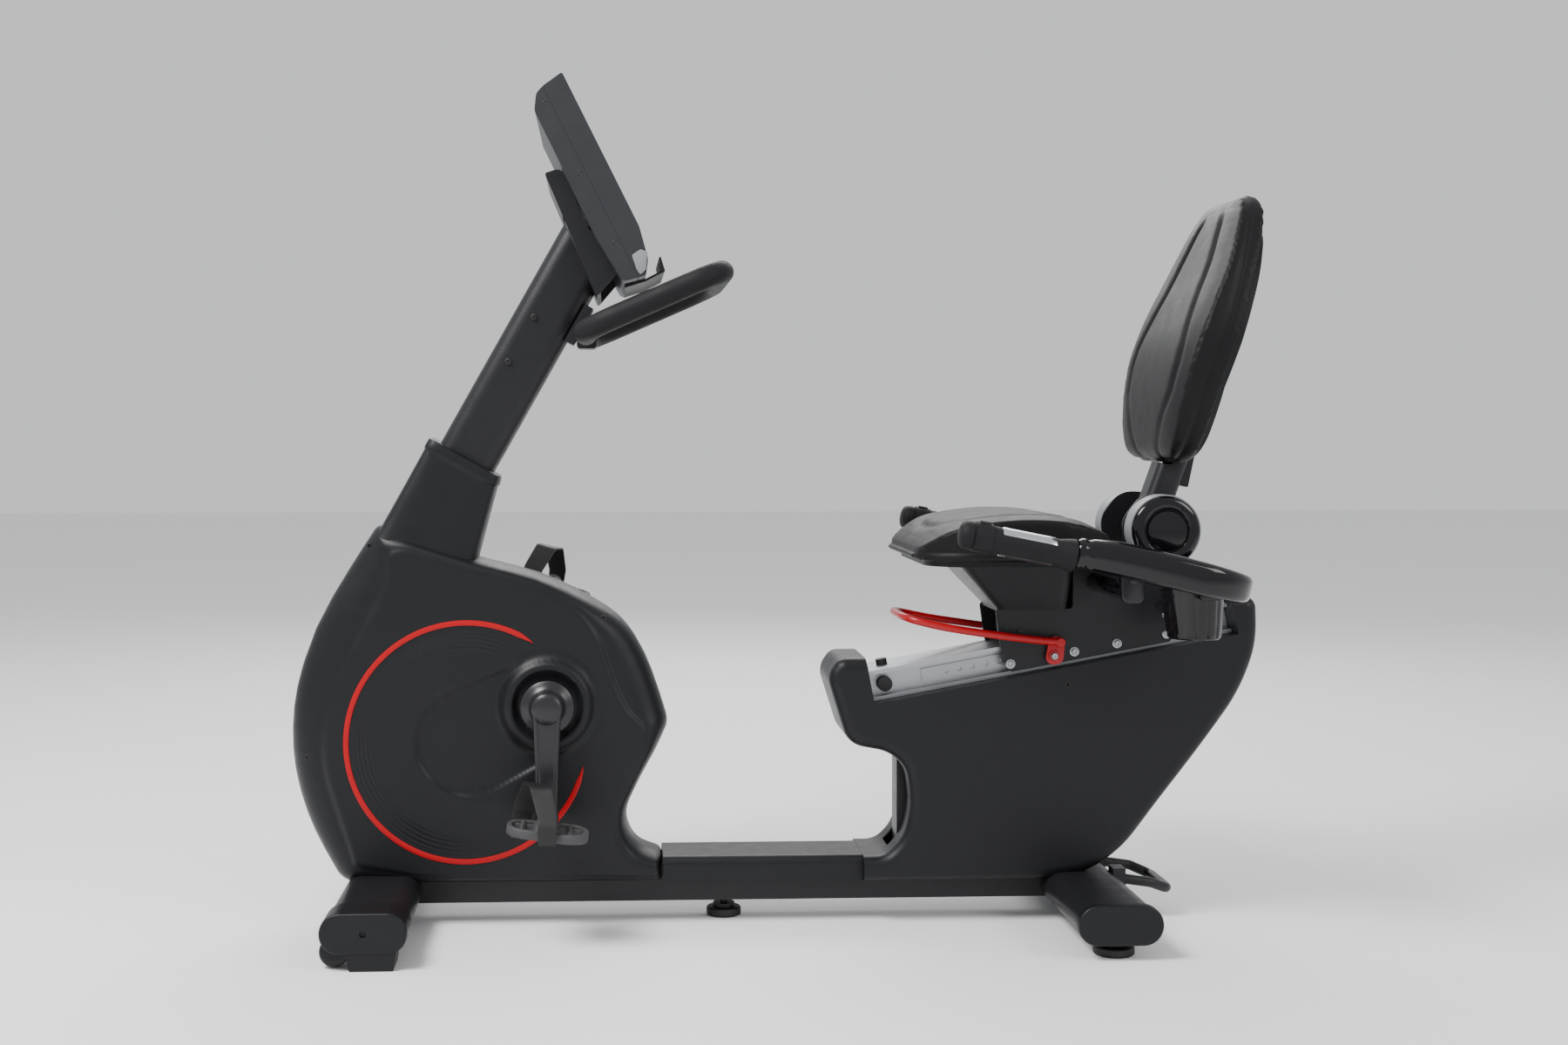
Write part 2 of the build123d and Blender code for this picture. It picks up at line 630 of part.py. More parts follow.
seat_plan = Pos(362, 0) * RectangleRounded(330, 400, 110)
seat_profile = slab([(194, 594, 8), (214, 610), (262, 630), (350, 645), (440, 642), (512, 620, 30),
                     (530, 596, 10), (500, 584, 8), (240, 581, 8)], -210, 210)
cushion = extrude(Plane.XY.offset(570) * seat_plan, amount=90) & seat_profile
nodes["seat_cushion"] = cushion - block(190, 560, -220, 220, 560, 580.3)

# Side handles joined behind the seat
arm_front = (250, 631)
arm_slope = -0.2


def arm_z(x):
    return arm_front[1] + (x - arm_front[0]) * arm_slope


bow_rear = 694
bow_path = tube_path([(262, -side_bar_y, arm_z(262)), (bow_rear, -side_bar_y, arm_z(bow_rear)),
                      (bow_rear, side_bar_y, arm_z(bow_rear)), (262, side_bar_y, arm_z(262))], 80)
bow = pipe(bow_path, 14)
thick = [(430, arm_z(430) + 23), (535, arm_z(535) + 31), (640, arm_z(640) + 26), (690, arm_z(690) + 20),
         (690, arm_z(690) - 20), (640, arm_z(640) - 26), (535, arm_z(535) - 31), (430, arm_z(430) - 23)]
fairing = slab(thick, side_bar_y - 24, side_bar_y + 22, 16)
fairing = fillet(fairing.faces().sort_by(Axis.Y)[-1].edges(), 10)
bow += both_sides(fairing)
cross = rod(510, cross_z, 15, -side_bar_y, side_bar_y)
drop = slab([(494, 590), (526, 590), (526, 530), (494, 530)], side_bar_y - 14, side_bar_y + 4, 10)
bow += cross + both_sides(drop)
nodes["seat_handlebar"] = bow
nodes["seat_carriage"] -= cross

# Grips, each with two pulse contacts and a sprung button near its front end
grip_line = Plane(origin=(250, side_bar_y, arm_z(250)), x_dir=(0, 1, 0), z_dir=(1, 0, arm_slope))
grip_place = Location(grip_line)
grip = extrude(grip_line * Circle(21), amount=176)
grip = fillet(grip.faces().sort_by(Axis.X)[0].edges(), 9)
grip += extrude(grip_line.offset(22) * Circle(22.5), amount=26)
grip -= grip_place * block(-6.3, 6.3, 15.5, 30, 28, 44)
contacts = extrude(grip_line.offset(62) * (Circle(21.9) - Circle(19.4)), amount=82)
contacts = contacts & extrude(grip_line.offset(60) * Rectangle(26, 60), amount=86)
nodes["seat_grips"] = both_sides(grip - pipe(bow_path, 14) - contacts)
nodes["pulse_sensors"] = both_sides(contacts)
button = grip_place * block(-6, 6, 17.5, 24.5, 28.3, 43.7)
nodes["grip_button_right"] = button
nodes["grip_button_left"] = mirror(button, about=Plane.XZ)

cup_axis = Plane(origin=(634, -178, 462), x_dir=(1, 0, 0), z_dir=(-0.05, 0, 1))
cup = loft([cup_axis * Circle(40), cup_axis.offset(86) * Circle(50)])
cup -= loft([cup_axis.offset(3) * Circle(37), cup_axis.offset(87) * Circle(47.2)])
cup += block(600, 660, -252, -226, 505, 531) - loft([cup_axis * Circle(40), cup_axis.offset(86) * Circle(50)])
nodes["bottle_holder"] = cup - bow

disc = rod(hub[0], hub[1], 54, plate_y[1] + fit, 116)
disc = fillet(disc.faces().sort_by(Axis.Y)[-1].edges(), 8)
disc -= rod(hub[0], hub[1], 32, 111, 120)
disc += fillet(rod(hub[0], hub[1], 31, 110, 118).faces().sort_by(Axis.Y)[-1].edges(), 3)
disc -= rod(hub[0], hub[1], 20, 60, 78)
nodes["recline_covers"] = both_sides(disc)

# ---- backrest ------------------------------------------------------------------------------

barrel = rod(hub[0], hub[1], 26, -59, 59) + rod(hub[0], hub[1], 15, -74, 74)
stalk = Plane(origin=(hub[0], 0, hub[1]), x_dir=(0.94, 0, -0.342), z_dir=(0.342, 0, 0.94))
post = extrude(stalk.offset(10) * RectangleRounded(46, 60, 14), amount=130)
mount_plate = slab([(662, 735), (668, 733), (716, 880), (710, 882)], -60, 60, 2)
post_upper = slab([(640, 700), (676, 690), (716, 880), (704, 878)], -14, 14, 3)
nodes["backrest_post"] = barrel + post + post_upper + mount_plate

front_edge = [(744, 1162), (722, 1106), (697, 1042), (667, 980), (640, 917), (624, 853), (616, 790),
              (614, 745), (628, 728)]
rear_edge = [(650, 728), (662, 780), (676, 850), (700, 920), (722, 990), (744, 1060), (762, 1110),
             (770, 1150), (764, 1164)]
pad = slab(front_edge + rear_edge, -210, 210)
back_view = Plane.YZ.offset(560) * outline([(-84, 722), (84, 722), (140, 746), (178, 830), (194, 930),
                                            (176, 1040), (120, 1140), (60, 1170), (-60, 1170),
                                            (-120, 1140), (-176, 1040), (-194, 930), (-178, 830),
                                            (-140, 746)])
pad = pad & extrude(make_face(back_view), amount=260, dir=(1, 0, 0))
rear_skin = [(p[0] + 0.4, p[1]) for p in rear_edge[:7]]
rear_out = [(p[0] + 9, p[1]) for p in rear_edge[:7]]
shell = slab(rear_skin + rear_out[::-1], -210, 210, 40)
shell_view = Plane.YZ.offset(560) * outline([(-70, 733), (70, 733), (128, 756), (166, 830), (182, 930),
                                             (164, 1034), (110, 1104), (-110, 1104), (-164, 1034),
                                             (-182, 930), (-166, 830), (-128, 756)])
shell = shell & extrude(make_face(shell_view), amount=260, dir=(1, 0, 0))
nodes["backrest_cushion"] = pad
nodes["backrest_shell"] = shell
nodes["backrest_shell"] = shell - Pos(0.5, 0, 0) * pad - pad
nodes["backrest_post"] = nodes["backrest_post"] - shell - pad

# ---- lever ---------------------------------------------------------------------------------

lever_path = tube_path([(446, -79, 447), (328, -86, 461), (268, -86, 469), (198, -62, 486),
                        (198, 62, 486), (268, 86, 469), (328, 86, 461), (446, 79, 447)], 22)
lever = pipe(lever_path, 4.6)
tab = slab([(428, 412, 12), (452, 412, 12), (458, 456, 12), (436, 458, 12)], 72, 76)
lever += both_sides(tab)
lever += both_sides(rod(lever_pivot[0], lever_pivot[1], 6, plate_y[0], 78))
lever += both_sides(slab([(441, 441), (451, 441), (451, 453), (441, 453)], 74, 82, 3))
nodes["adjust_lever"] = lever

bolts = None
for s, h in ((225, -28), (330, -28), (400, -28), (482, -28)):
    at = rail_point(s, h)
    head = rod(at[0], at[1], 8, plate_y[1], plate_y[1] + 5) + rod(at[0], at[1], 5, plate_y[0], plate_y[1] + 2)
    bolts = head if bolts is None else bolts + head
nodes["seat_carriage"] -= both_sides(bolts)
nodes["carriage_bolts"] = both_sides(bolts)

screw_at = [(-646, 600, 66), (-277, 485, 66), (-742, 268, 66), (-191, 83, 66), (462, 379, 78)]
screws = None
for x, z, y in screw_at:
    one = rod(x, z, 4, y - 4, y - 0.6)
    screws = one if screws is None else screws + one
nodes["cover_screws"] = both_sides(screws)
for cover, part in (("drive_cover", 4), ("seat_cover", 1)):
    for side in ("left", "right"):
        for x, z, y in screw_at:
            sign = 1 if side == "right" else -1
            nodes[cover + "_" + side] -= rod(x, z, 4, *sorted((sign * (y - 4), sign * (y + 20))))

os.makedirs("parts", exist_ok=True)
for name, solid in nodes.items():
    box = solid.bounding_box()
    print(name, round(solid.volume), solid.is_valid, len(solid.solids()), box.min, box.max)
    export_step(solid, "parts/" + name + ".step")
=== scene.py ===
import bpy
import bmesh
import math
import numpy as np
from mathutils import Vector, Matrix


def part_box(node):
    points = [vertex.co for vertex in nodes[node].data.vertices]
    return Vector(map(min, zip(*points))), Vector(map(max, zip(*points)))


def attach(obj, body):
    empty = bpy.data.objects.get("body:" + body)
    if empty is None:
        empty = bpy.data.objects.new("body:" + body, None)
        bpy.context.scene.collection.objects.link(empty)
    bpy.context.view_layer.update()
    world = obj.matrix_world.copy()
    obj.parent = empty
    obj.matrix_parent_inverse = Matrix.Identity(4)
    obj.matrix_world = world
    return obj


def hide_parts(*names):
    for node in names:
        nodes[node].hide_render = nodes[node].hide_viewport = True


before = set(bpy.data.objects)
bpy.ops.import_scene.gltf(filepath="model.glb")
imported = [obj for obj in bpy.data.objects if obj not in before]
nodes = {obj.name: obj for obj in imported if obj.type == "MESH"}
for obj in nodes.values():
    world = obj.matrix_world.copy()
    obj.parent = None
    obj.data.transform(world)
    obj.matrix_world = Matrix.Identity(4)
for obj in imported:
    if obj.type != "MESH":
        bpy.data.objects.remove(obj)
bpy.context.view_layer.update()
scene = bpy.context.scene
print("frame loaded")


# shader groups that several finishes share

def newGroup(name, inputs, outputs):
    group = bpy.data.node_groups.new(name, "ShaderNodeTree")
    for label, kind, value in inputs:
        socket = group.interface.new_socket(name=label, in_out="INPUT", socket_type=kind)
        socket.default_value = value
    for label, kind in outputs:
        group.interface.new_socket(name=label, in_out="OUTPUT", socket_type=kind)
    return group, group.nodes.new("NodeGroupInput"), group.nodes.new("NodeGroupOutput")


def addNoise(tree, source, scale, detail, rough=0.5):
    noise = tree.nodes.new("ShaderNodeTexNoise")
    noise.inputs["Detail"].default_value = detail
    noise.inputs["Roughness"].default_value = rough
    tree.links.new(source, noise.inputs["Vector"])
    if isinstance(scale, (int, float)):
        noise.inputs["Scale"].default_value = scale
    else:
        tree.links.new(scale, noise.inputs["Scale"])
    return noise


def addRange(tree, source, low, high, toLow, toHigh):
    node = tree.nodes.new("ShaderNodeMapRange")
    for index, value in ((1, low), (2, high), (3, toLow), (4, toHigh)):
        if isinstance(value, (int, float)):
            node.inputs[index].default_value = value
        else:
            tree.links.new(value, node.inputs[index])
    tree.links.new(source, node.inputs[0])
    return node


def addMix(tree, factor, first, second, blend="MIX"):
    node = tree.nodes.new("ShaderNodeMix")
    node.data_type = "RGBA"
    node.blend_type = blend
    for index, value in ((0, factor), (6, first), (7, second)):
        if isinstance(value, (int, float, tuple)):
            node.inputs[index].default_value = value
        else:
            tree.links.new(value, node.inputs[index])
    return node


def addMath(tree, kind, *values):
    node = tree.nodes.new("ShaderNodeMath")
    node.operation = kind
    for index, value in enumerate(values):
        if isinstance(value, (int, float)):
            node.inputs[index].default_value = value
        else:
            tree.links.new(value, node.inputs[index])
    return node


def makeToneGroup():
    # slow drift of tone, with faint smudges in the gloss
    group, into, out = newGroup("surfaceTone", [
        ("Vector", "NodeSocketVector", (0, 0, 0)),
        ("Colour", "NodeSocketColor", (0.5, 0.5, 0.5, 1)),
        ("Drift", "NodeSocketFloat", 0.1),
        ("Gloss Low", "NodeSocketFloat", 0.4),
        ("Gloss High", "NodeSocketFloat", 0.5)],
        [("Colour", "NodeSocketColor"), ("Roughness", "NodeSocketFloat")])
    cloud = addNoise(group, into.outputs["Vector"], 7.0, 3.0)
    smudge = addNoise(group, into.outputs["Vector"], 38.0, 5.0, 0.62)
    lift = addMix(group, into.outputs["Drift"], into.outputs["Colour"], (0.5, 0.5, 0.5, 1), "OVERLAY")
    tint = addMix(group, cloud.outputs["Fac"], into.outputs["Colour"], lift.outputs[2])
    gloss = addRange(group, smudge.outputs["Fac"], 0.3, 0.7,
                     into.outputs["Gloss Low"], into.outputs["Gloss High"])
    group.links.new(tint.outputs[2], out.inputs["Colour"])
    group.links.new(gloss.outputs[0], out.inputs["Roughness"])
    return group


def makeGrainGroup():
    # moulded or sprayed grain as a height, its scale in grains to the metre
    group, into, out = newGroup("fineGrain", [
        ("Vector", "NodeSocketVector", (0, 0, 0)),
        ("Scale", "NodeSocketFloat", 900.0),
        ("Depth", "NodeSocketFloat", 0.2)],
        [("Height", "NodeSocketFloat")])
    grain = addNoise(group, into.outputs["Vector"], into.outputs["Scale"], 2.0)
    depth = addRange(group, grain.outputs["Fac"], 0.35, 0.65, 0.0, into.outputs["Depth"])
    group.links.new(depth.outputs[0], out.inputs["Height"])
    return group


def makeHideGroup():
    # grained synthetic leather: rounded cells, creases between them, soft wrinkles, and a mask for painted shade in
    # the creases
    group, into, out = newGroup("hideGrain", [
        ("Vector", "NodeSocketVector", (0, 0, 0)),
        ("Scale", "NodeSocketFloat", 620.0),
        ("Wrinkle", "NodeSocketFloat", 0.3)],
        [("Height", "NodeSocketFloat"), ("CreaseShade", "NodeSocketFloat")])
    bend = addNoise(group, into.outputs["Vector"], 90.0, 3.0)
    shift = group.nodes.new("ShaderNodeVectorMath")
    shift.operation = "MULTIPLY_ADD"
    shift.inputs[1].default_value = (0.004, 0.004, 0.004)
    group.links.new(bend.outputs["Color"], shift.inputs[0])
    group.links.new(into.outputs["Vector"], shift.inputs[2])
    cell = group.nodes.new("ShaderNodeTexVoronoi")
    cell.feature = "DISTANCE_TO_EDGE"
    group.links.new(shift.outputs[0], cell.inputs["Vector"])
    group.links.new(into.outputs["Scale"], cell.inputs["Scale"])
    dome = addRange(group, cell.outputs["Distance"], 0.0, 0.35, 0.0, 1.0)
    wave = addNoise(group, into.outputs["Vector"], 34.0, 4.0)
    fold = addRange(group, wave.outputs["Fac"], 0.3, 0.7, 0.0, into.outputs["Wrinkle"])
    total = addMath(group, "ADD", dome.outputs[0], fold.outputs[0])
    group.links.new(total.outputs[0], out.inputs["Height"])
    # the crease mask, used to paint shade into the creases
    group.links.new(dome.outputs[0], out.inputs["CreaseShade"])
    return group


def makeDrawnGroup():
    # fine lines along X, as on extruded or brushed metal
    group, into, out = newGroup("drawnLines", [
        ("Vector", "NodeSocketVector", (0, 0, 0)),
        ("Scale", "NodeSocketFloat", 420.0)],
        [("Height", "NodeSocketFloat"), ("Streak", "NodeSocketFloat")])
    squeeze = group.nodes.new("ShaderNodeMapping")
    squeeze.inputs["Rotation"].default_value = (0, math.radians(10.5), 0)
    squeeze.inputs["Scale"].default_value = (0.015, 1, 1)
    group.links.new(into.outputs["Vector"], squeeze.inputs["Vector"])
    lines = addNoise(group, squeeze.outputs[0], into.outputs["Scale"], 2.0)
    group.links.new(lines.outputs["Fac"], out.inputs["Height"])
    group.links.new(lines.outputs["Fac"], out.inputs["Streak"])
    return group


def makeRidgeGroup():
    # rings of shallow ridges about a line along Y, between two radii, fading at both
    group, into, out = newGroup("roundRidges", [
        ("Vector", "NodeSocketVector", (0, 0, 0)),
        ("Inner", "NodeSocketFloat", 0.1),
        ("Outer", "NodeSocketFloat", 0.2),
        ("Count", "NodeSocketFloat", 600.0)],
        [("Height", "NodeSocketFloat")])
    flat = group.nodes.new("ShaderNodeVectorMath")
    flat.operation = "MULTIPLY"
    flat.inputs[1].default_value = (1, 0, 1)
    group.links.new(into.outputs["Vector"], flat.inputs[0])
    away = group.nodes.new("ShaderNodeVectorMath")
    away.operation = "LENGTH"
    group.links.new(flat.outputs[0], away.inputs[0])
    turns = addMath(group, "MULTIPLY", away.outputs["Value"], into.outputs["Count"])
    wave = addMath(group, "SINE", turns.outputs[0])
    crest = addMath(group, "MULTIPLY_ADD", wave.outputs[0], 0.5, 0.5)
    past = addMath(group, "SUBTRACT", away.outputs["Value"], into.outputs["Inner"])
    short = addMath(group, "SUBTRACT", into.outputs["Outer"], away.outputs["Value"])
    inside = addMath(group, "MINIMUM", past.outputs[0], short.outputs[0])
    mask = addRange(group, inside.outputs[0], 0.0, 0.012, 0.0, 1.0)
    apart = group.nodes.new("ShaderNodeSeparateXYZ")
    group.links.new(into.outputs["Vector"], apart.inputs[0])
    left = addRange(group, apart.outputs["X"], 0.02, 0.07, 1.0, 0.0)
    shown = addMath(group, "MULTIPLY", mask.outputs[0], left.outputs[0])
    height = addMath(group, "MULTIPLY", crest.outputs[0], shown.outputs[0])
    group.links.new(height.outputs[0], out.inputs["Height"])
    return group


toneGroup = makeToneGroup()
grainGroup = makeGrainGroup()
hideGroup = makeHideGroup()
drawnGroup = makeDrawnGroup()
ridgeGroup = makeRidgeGroup()


def placeGroup(tree, group, source, **values):
    node = tree.nodes.new("ShaderNodeGroup")
    node.node_tree = group
    for label, value in values.items():
        node.inputs[label.replace("_", " ")].default_value = value
    tree.links.new(source, node.inputs["Vector"])
    return node


def startMaterial(name):
    material = bpy.data.materials.new(name)
    material.use_nodes = True
    tree = material.node_tree
    shader = tree.nodes["Principled BSDF"]
    coords = tree.nodes.new("ShaderNodeTexCoord").outputs["Object"]
    return material, tree, shader, coords


def addBump(tree, shader, height, distance, strength=1.0):
    bump = tree.nodes.new("ShaderNodeBump")
    bump.inputs["Strength"].default_value = strength
    bump.inputs["Distance"].default_value = distance
    tree.links.new(height, bump.inputs["Height"])
    tree.links.new(bump.outputs[0], shader.inputs["Normal"])
    return bump


def setShader(shader, values):
    for label, value in values.items():
        shader.inputs[label].default_value = value


def grainMaterial(name, look):
    # plastic, paint or rubber: one colour with its drift, and a fine grain
    material, tree, shader, coords = startMaterial(name)
    tone = placeGroup(tree, toneGroup, coords, Colour=look["colour"], Drift=look.get("drift", 0.12),
                      Gloss_Low=look["gloss"][0], Gloss_High=look["gloss"][1])
    grain = placeGroup(tree, grainGroup, coords, Scale=look.get("grain", 900.0),
                       Depth=look.get("depth", 0.5))
    tree.links.new(tone.outputs["Colour"], shader.inputs["Base Color"])
    tree.links.new(tone.outputs["Roughness"], shader.inputs["Roughness"])
    bump = addBump(tree, shader, grain.outputs["Height"], look.get("bump", 0.0001))
    if "rings" in look:
        middle = tree.nodes.new("ShaderNodeMapping")
        middle.inputs["Location"].default_value = look["rings"]["middle"]
        tree.links.new(coords, middle.inputs["Vector"])
        rings = placeGroup(tree, ridgeGroup, middle.outputs[0], Inner=look["rings"]["inner"],
                           Outer=look["rings"]["outer"], Count=look["rings"]["count"])
        coarse = tree.nodes.new("ShaderNodeBump")
        coarse.inputs["Distance"].default_value = look["rings"]["height"]
        tree.links.new(rings.outputs["Height"], coarse.inputs["Height"])
        tree.links.new(coarse.outputs[0], bump.inputs["Normal"])
    setShader(shader, look.get("shader", {}))
    return material


def hideMaterial(name, look):
    material, tree, shader, coords = startMaterial(name)
    tone = placeGroup(tree, toneGroup, coords, Colour=look["colour"], Drift=0.2,
                      Gloss_Low=look["gloss"][0], Gloss_High=look["gloss"][1])
    hide = placeGroup(tree, hideGroup, coords, Scale=look["cells"], Wrinkle=look["wrinkle"])
    # painted shade: the creases between the cells take a darker colour
    creaseShade = addMix(tree, hide.outputs["CreaseShade"], look["creaseShadeColour"], tone.outputs["Colour"])
    tree.links.new(creaseShade.outputs[2], shader.inputs["Base Color"])
    tree.links.new(tone.outputs["Roughness"], shader.inputs["Roughness"])
    addBump(tree, shader, hide.outputs["Height"], look["bump"], 0.7)
    setShader(shader, look.get("shader", {}))
    return material


def drawnMaterial(name, look):
    material, tree, shader, coords = startMaterial(name)
    lines = placeGroup(tree, drawnGroup, coords, Scale=look["lines"])
    colour = addMix(tree, lines.outputs["Streak"], look["colour"], look["streakColour"])
    gloss = addRange(tree, lines.outputs["Streak"], 0.3, 0.7, look["gloss"][0], look["gloss"][1])
    tree.links.new(colour.outputs[2], shader.inputs["Base Color"])
    tree.links.new(gloss.outputs[0], shader.inputs["Roughness"])
    addBump(tree, shader, lines.outputs["Height"], look["bump"])
    setShader(shader, {"Metallic": 1.0})
    return material


dull = {"Specular IOR Level": 0.15}
looks = {
    "coverBlack": dict(colour=(0.0075, 0.0078, 0.009, 1), gloss=(0.36, 0.46), grain=1100.0, bump=0.0001,
                       shader={"Specular IOR Level": 0.24}),
    "driveBlack": dict(colour=(0.0075, 0.0078, 0.009, 1), gloss=(0.36, 0.46), grain=1100.0, bump=0.0001,
                       shader={"Specular IOR Level": 0.24},
                       rings=dict(middle=(0.492, 0, -0.292), inner=0.142, outer=0.181, count=900.0,
                                  height=0.0007)),
    "frameBlack": dict(colour=(0.01, 0.0102, 0.0115, 1), gloss=(0.34, 0.44), grain=420.0, bump=0.0001,
                       shader={"Specular IOR Level": 0.3}),
    "consoleGrey": dict(colour=(0.02, 0.021, 0.0245, 1), gloss=(0.36, 0.46), grain=1200.0, bump=0.0001,
                        shader={"Specular IOR Level": 0.35}),
    "glossBlack": dict(colour=(0.004, 0.004, 0.005, 1), gloss=(0.06, 0.13), grain=90.0, depth=0.2,
                       bump=0.0001,
                       shader={"Specular IOR Level": 0.28, "Coat Weight": 0.2, "Coat Roughness": 0.04}),
    "accentRed": dict(colour=(0.4, 0.004, 0.009, 1), gloss=(0.3, 0.4), grain=700.0, bump=0.00006,
                      shader=dull),
    "leverRed": dict(colour=(0.36, 0.003, 0.007, 1), gloss=(0.26, 0.34), grain=260.0, bump=0.0001,
                     shader={"Specular IOR Level": 0.3, "Coat Weight": 0.15, "Coat Roughness": 0.12}),
    "screenBlack": dict(colour=(0.006, 0.007, 0.009, 1), gloss=(0.08, 0.16), grain=60.0, depth=0.1,
                        bump=0.00005),
    "keyGrey": dict(colour=(0.045, 0.047, 0.052, 1), gloss=(0.3, 0.4), grain=1200.0, bump=0.00006),
    "keyPale": dict(colour=(0.22, 0.225, 0.235, 1), gloss=(0.3, 0.4), grain=1200.0, bump=0.00006),
    "keyRed": dict(colour=(0.36, 0.012, 0.016, 1), gloss=(0.3, 0.4), grain=1200.0, bump=0.00006),
    "tubeBlack": dict(colour=(0.009, 0.009, 0.0105, 1), gloss=(0.26, 0.36), grain=500.0, bump=0.0001,
                      shader={"Specular IOR Level": 0.35}),
    "armBlack": dict(colour=(0.013, 0.013, 0.0145, 1), gloss=(0.26, 0.36), grain=600.0, bump=0.00008,
                     shader={"Specular IOR Level": 0.4}),
    "foamBlack": dict(colour=(0.0075, 0.0075, 0.0085, 1), gloss=(0.5, 0.64), grain=1500.0, depth=0.9,
                      bump=0.00012, shader={"Specular IOR Level": 0.2}),
    "rubberBlack": dict(colour=(0.009, 0.009, 0.0098, 1), gloss=(0.45, 0.62), grain=800.0, bump=0.00014,
                        shader={"Specular IOR Level": 0.4}),
    "treadDusty": dict(colour=(0.045, 0.045, 0.047, 1), gloss=(0.55, 0.75), grain=420.0, drift=0.5,
                       depth=0.9, bump=0.0003),
    # pale grey: the console corner trim's own colour, and on the recline discs a painted reflection
    "greyTrimAndPaintedReflection": dict(colour=(0.2, 0.205, 0.215, 1), gloss=(0.35, 0.45), grain=700.0, bump=0.00006),
    "castGrey": dict(colour=(0.08, 0.08, 0.085, 1), gloss=(0.4, 0.6), grain=300.0, bump=0.0003,
                     shader={"Metallic": 0.8}),
    "nylonGrey": dict(colour=(0.05, 0.05, 0.055, 1), gloss=(0.4, 0.55), grain=900.0, bump=0.0001),
}
materials = {name: grainMaterial(name, look) for name, look in looks.items()}
# synthetic leather with painted shade in its grain creases
materials["hideBlack"] = hideMaterial("hideBlack", dict(
    colour=(0.0078, 0.0078, 0.0088, 1), creaseShadeColour=(0.005, 0.005, 0.0055, 1), gloss=(0.42, 0.5),
    cells=520.0, wrinkle=0.15, bump=0.00012,
    shader={"Specular IOR Level": 0.16}))
materials["railSilver"] = drawnMaterial("railSilver", dict(
    colour=(0.36, 0.37, 0.385, 1), streakColour=(0.46, 0.47, 0.485, 1), gloss=(0.34, 0.44), lines=300.0,
    bump=0.00005))
materials["boltSteel"] = drawnMaterial("boltSteel", dict(
    colour=(0.3, 0.31, 0.32, 1), streakColour=(0.4, 0.41, 0.42, 1), gloss=(0.26, 0.36), lines=900.0,
    bump=0.00003))
materials["contactSteel"] = drawnMaterial("contactSteel", dict(
    colour=(0.56, 0.57, 0.59, 1), streakColour=(0.68, 0.69, 0.71, 1), gloss=(0.16, 0.26), lines=700.0,
    bump=0.00003))
print("materials made")

finishOf = {
    "coverBlack": ["beam_cover", "seat_cover_left", "seat_cover_right", "seat_pedestal",
                   "backrest_shell", "front_end_caps", "rear_end_caps"],
    "frameBlack": ["main_frame", "front_stabilizer", "rear_stabilizer", "mast", "console_bracket",
                   "seat_carriage", "backrest_post", "tablet_rest"],
    "consoleGrey": ["console_back", "console_front"],
    "screenBlack": ["console_overlay"],
    "tubeBlack": ["handlebar", "crank_axle", "pedal_spindles", "rollers_front", "rollers_rear",
                  "bearings"],
    "foamBlack": ["handlebar_grip"],
    "railSilver": ["seat_rail"],
    "boltSteel": ["index_strip"],
    "rubberBlack": ["rail_bumpers", "drive_belt", "foot_rear_left", "foot_rear_right", "foot_middle",
                    "transport_wheel_left", "transport_wheel_right", "grip_button_left",
                    "grip_button_right"],
    "castGrey": ["flywheel", "brake_unit"],
    "nylonGrey": ["drive_pulley", "glide_pads"],
}


def dress(piece, finish):
    piece.data.materials.clear()
    piece.data.materials.append(materials[finish])


for finish, names in finishOf.items():
    for name in names:
        dress(nodes[name], finish)
print("CAD nodes dressed")


# stage, light and camera

def areaLight(name, place, aim, size, power):
    data = bpy.data.lights.new(name, "AREA")
    data.shape = "RECTANGLE"
    data.size, data.size_y = size
    data.energy = power
    lamp = bpy.data.objects.new(name, data)
    scene.collection.objects.link(lamp)
    lamp.location = place
    lamp.rotation_euler = (Vector(aim) - Vector(place)).to_track_quat("-Z", "Y").to_euler()


def makeStage():
    bpy.ops.object.select_all(action="DESELECT")
    bpy.ops.mesh.primitive_plane_add(size=30, location=(0, 0, 0))
    floor = bpy.context.object
    floor.name = "floor"
    material, tree, shader, coords = startMaterial("paleFloor")
    mottle = addNoise(tree, coords, 3.0, 2.0)
    tint = addMix(tree, mottle.outputs["Fac"], (0.86, 0.86, 0.865, 1), (0.88, 0.88, 0.885, 1))
    tree.links.new(tint.outputs[2], shader.inputs["Base Color"])
    setShader(shader, {"Roughness": 0.9})
    floor.data.materials.append(material)
    world = bpy.data.worlds.new("studio")
    scene.world = world
    world.use_nodes = True
    world.node_tree.nodes["Background"].inputs[0].default_value = (0.97, 0.98, 1, 1)
    world.node_tree.nodes["Background"].inputs[1].default_value = 0.8
    middle = (0, 0, 0.55)
    areaLight("keyLight", (-2.0, -1.3, 3.3), middle, (1.6, 1.2), 190)
    areaLight("fillLight", (2.9, -2.2, 2.2), middle, (1.4, 1.4), 45)
    areaLight("backLight", (0.4, 3.2, 2.8), middle, (3.0, 1.6), 80)


def makeCamera():
    data = bpy.data.cameras.new("viewCamera")
    data.lens = 42.6
    data.sensor_width = 36
    data.shift_x = 0.0556
    data.shift_y = -0.0583
    camera = bpy.data.objects.new("viewCamera", data)
    scene.collection.objects.link(camera)
    camera.location = (-0.267, -3.0, 0.782)
    camera.rotation_euler = (math.radians(90), 0, math.radians(-2.7))
    scene.camera = camera


makeStage()
makeCamera()
print("stage set")


# ways of making a piece

def clearPick():
    if bpy.context.object and bpy.context.mode != "OBJECT":
        bpy.ops.object.mode_set(mode="OBJECT")
    bpy.ops.object.select_all(action="DESELECT")


def useOnly(piece):
    clearPick()
    piece.select_set(True)
    bpy.context.view_layer.objects.active = piece


def applyModifiers(piece):
    useOnly(piece)
    for modifier in list(piece.modifiers):
        bpy.ops.object.modifier_apply(modifier=modifier.name)


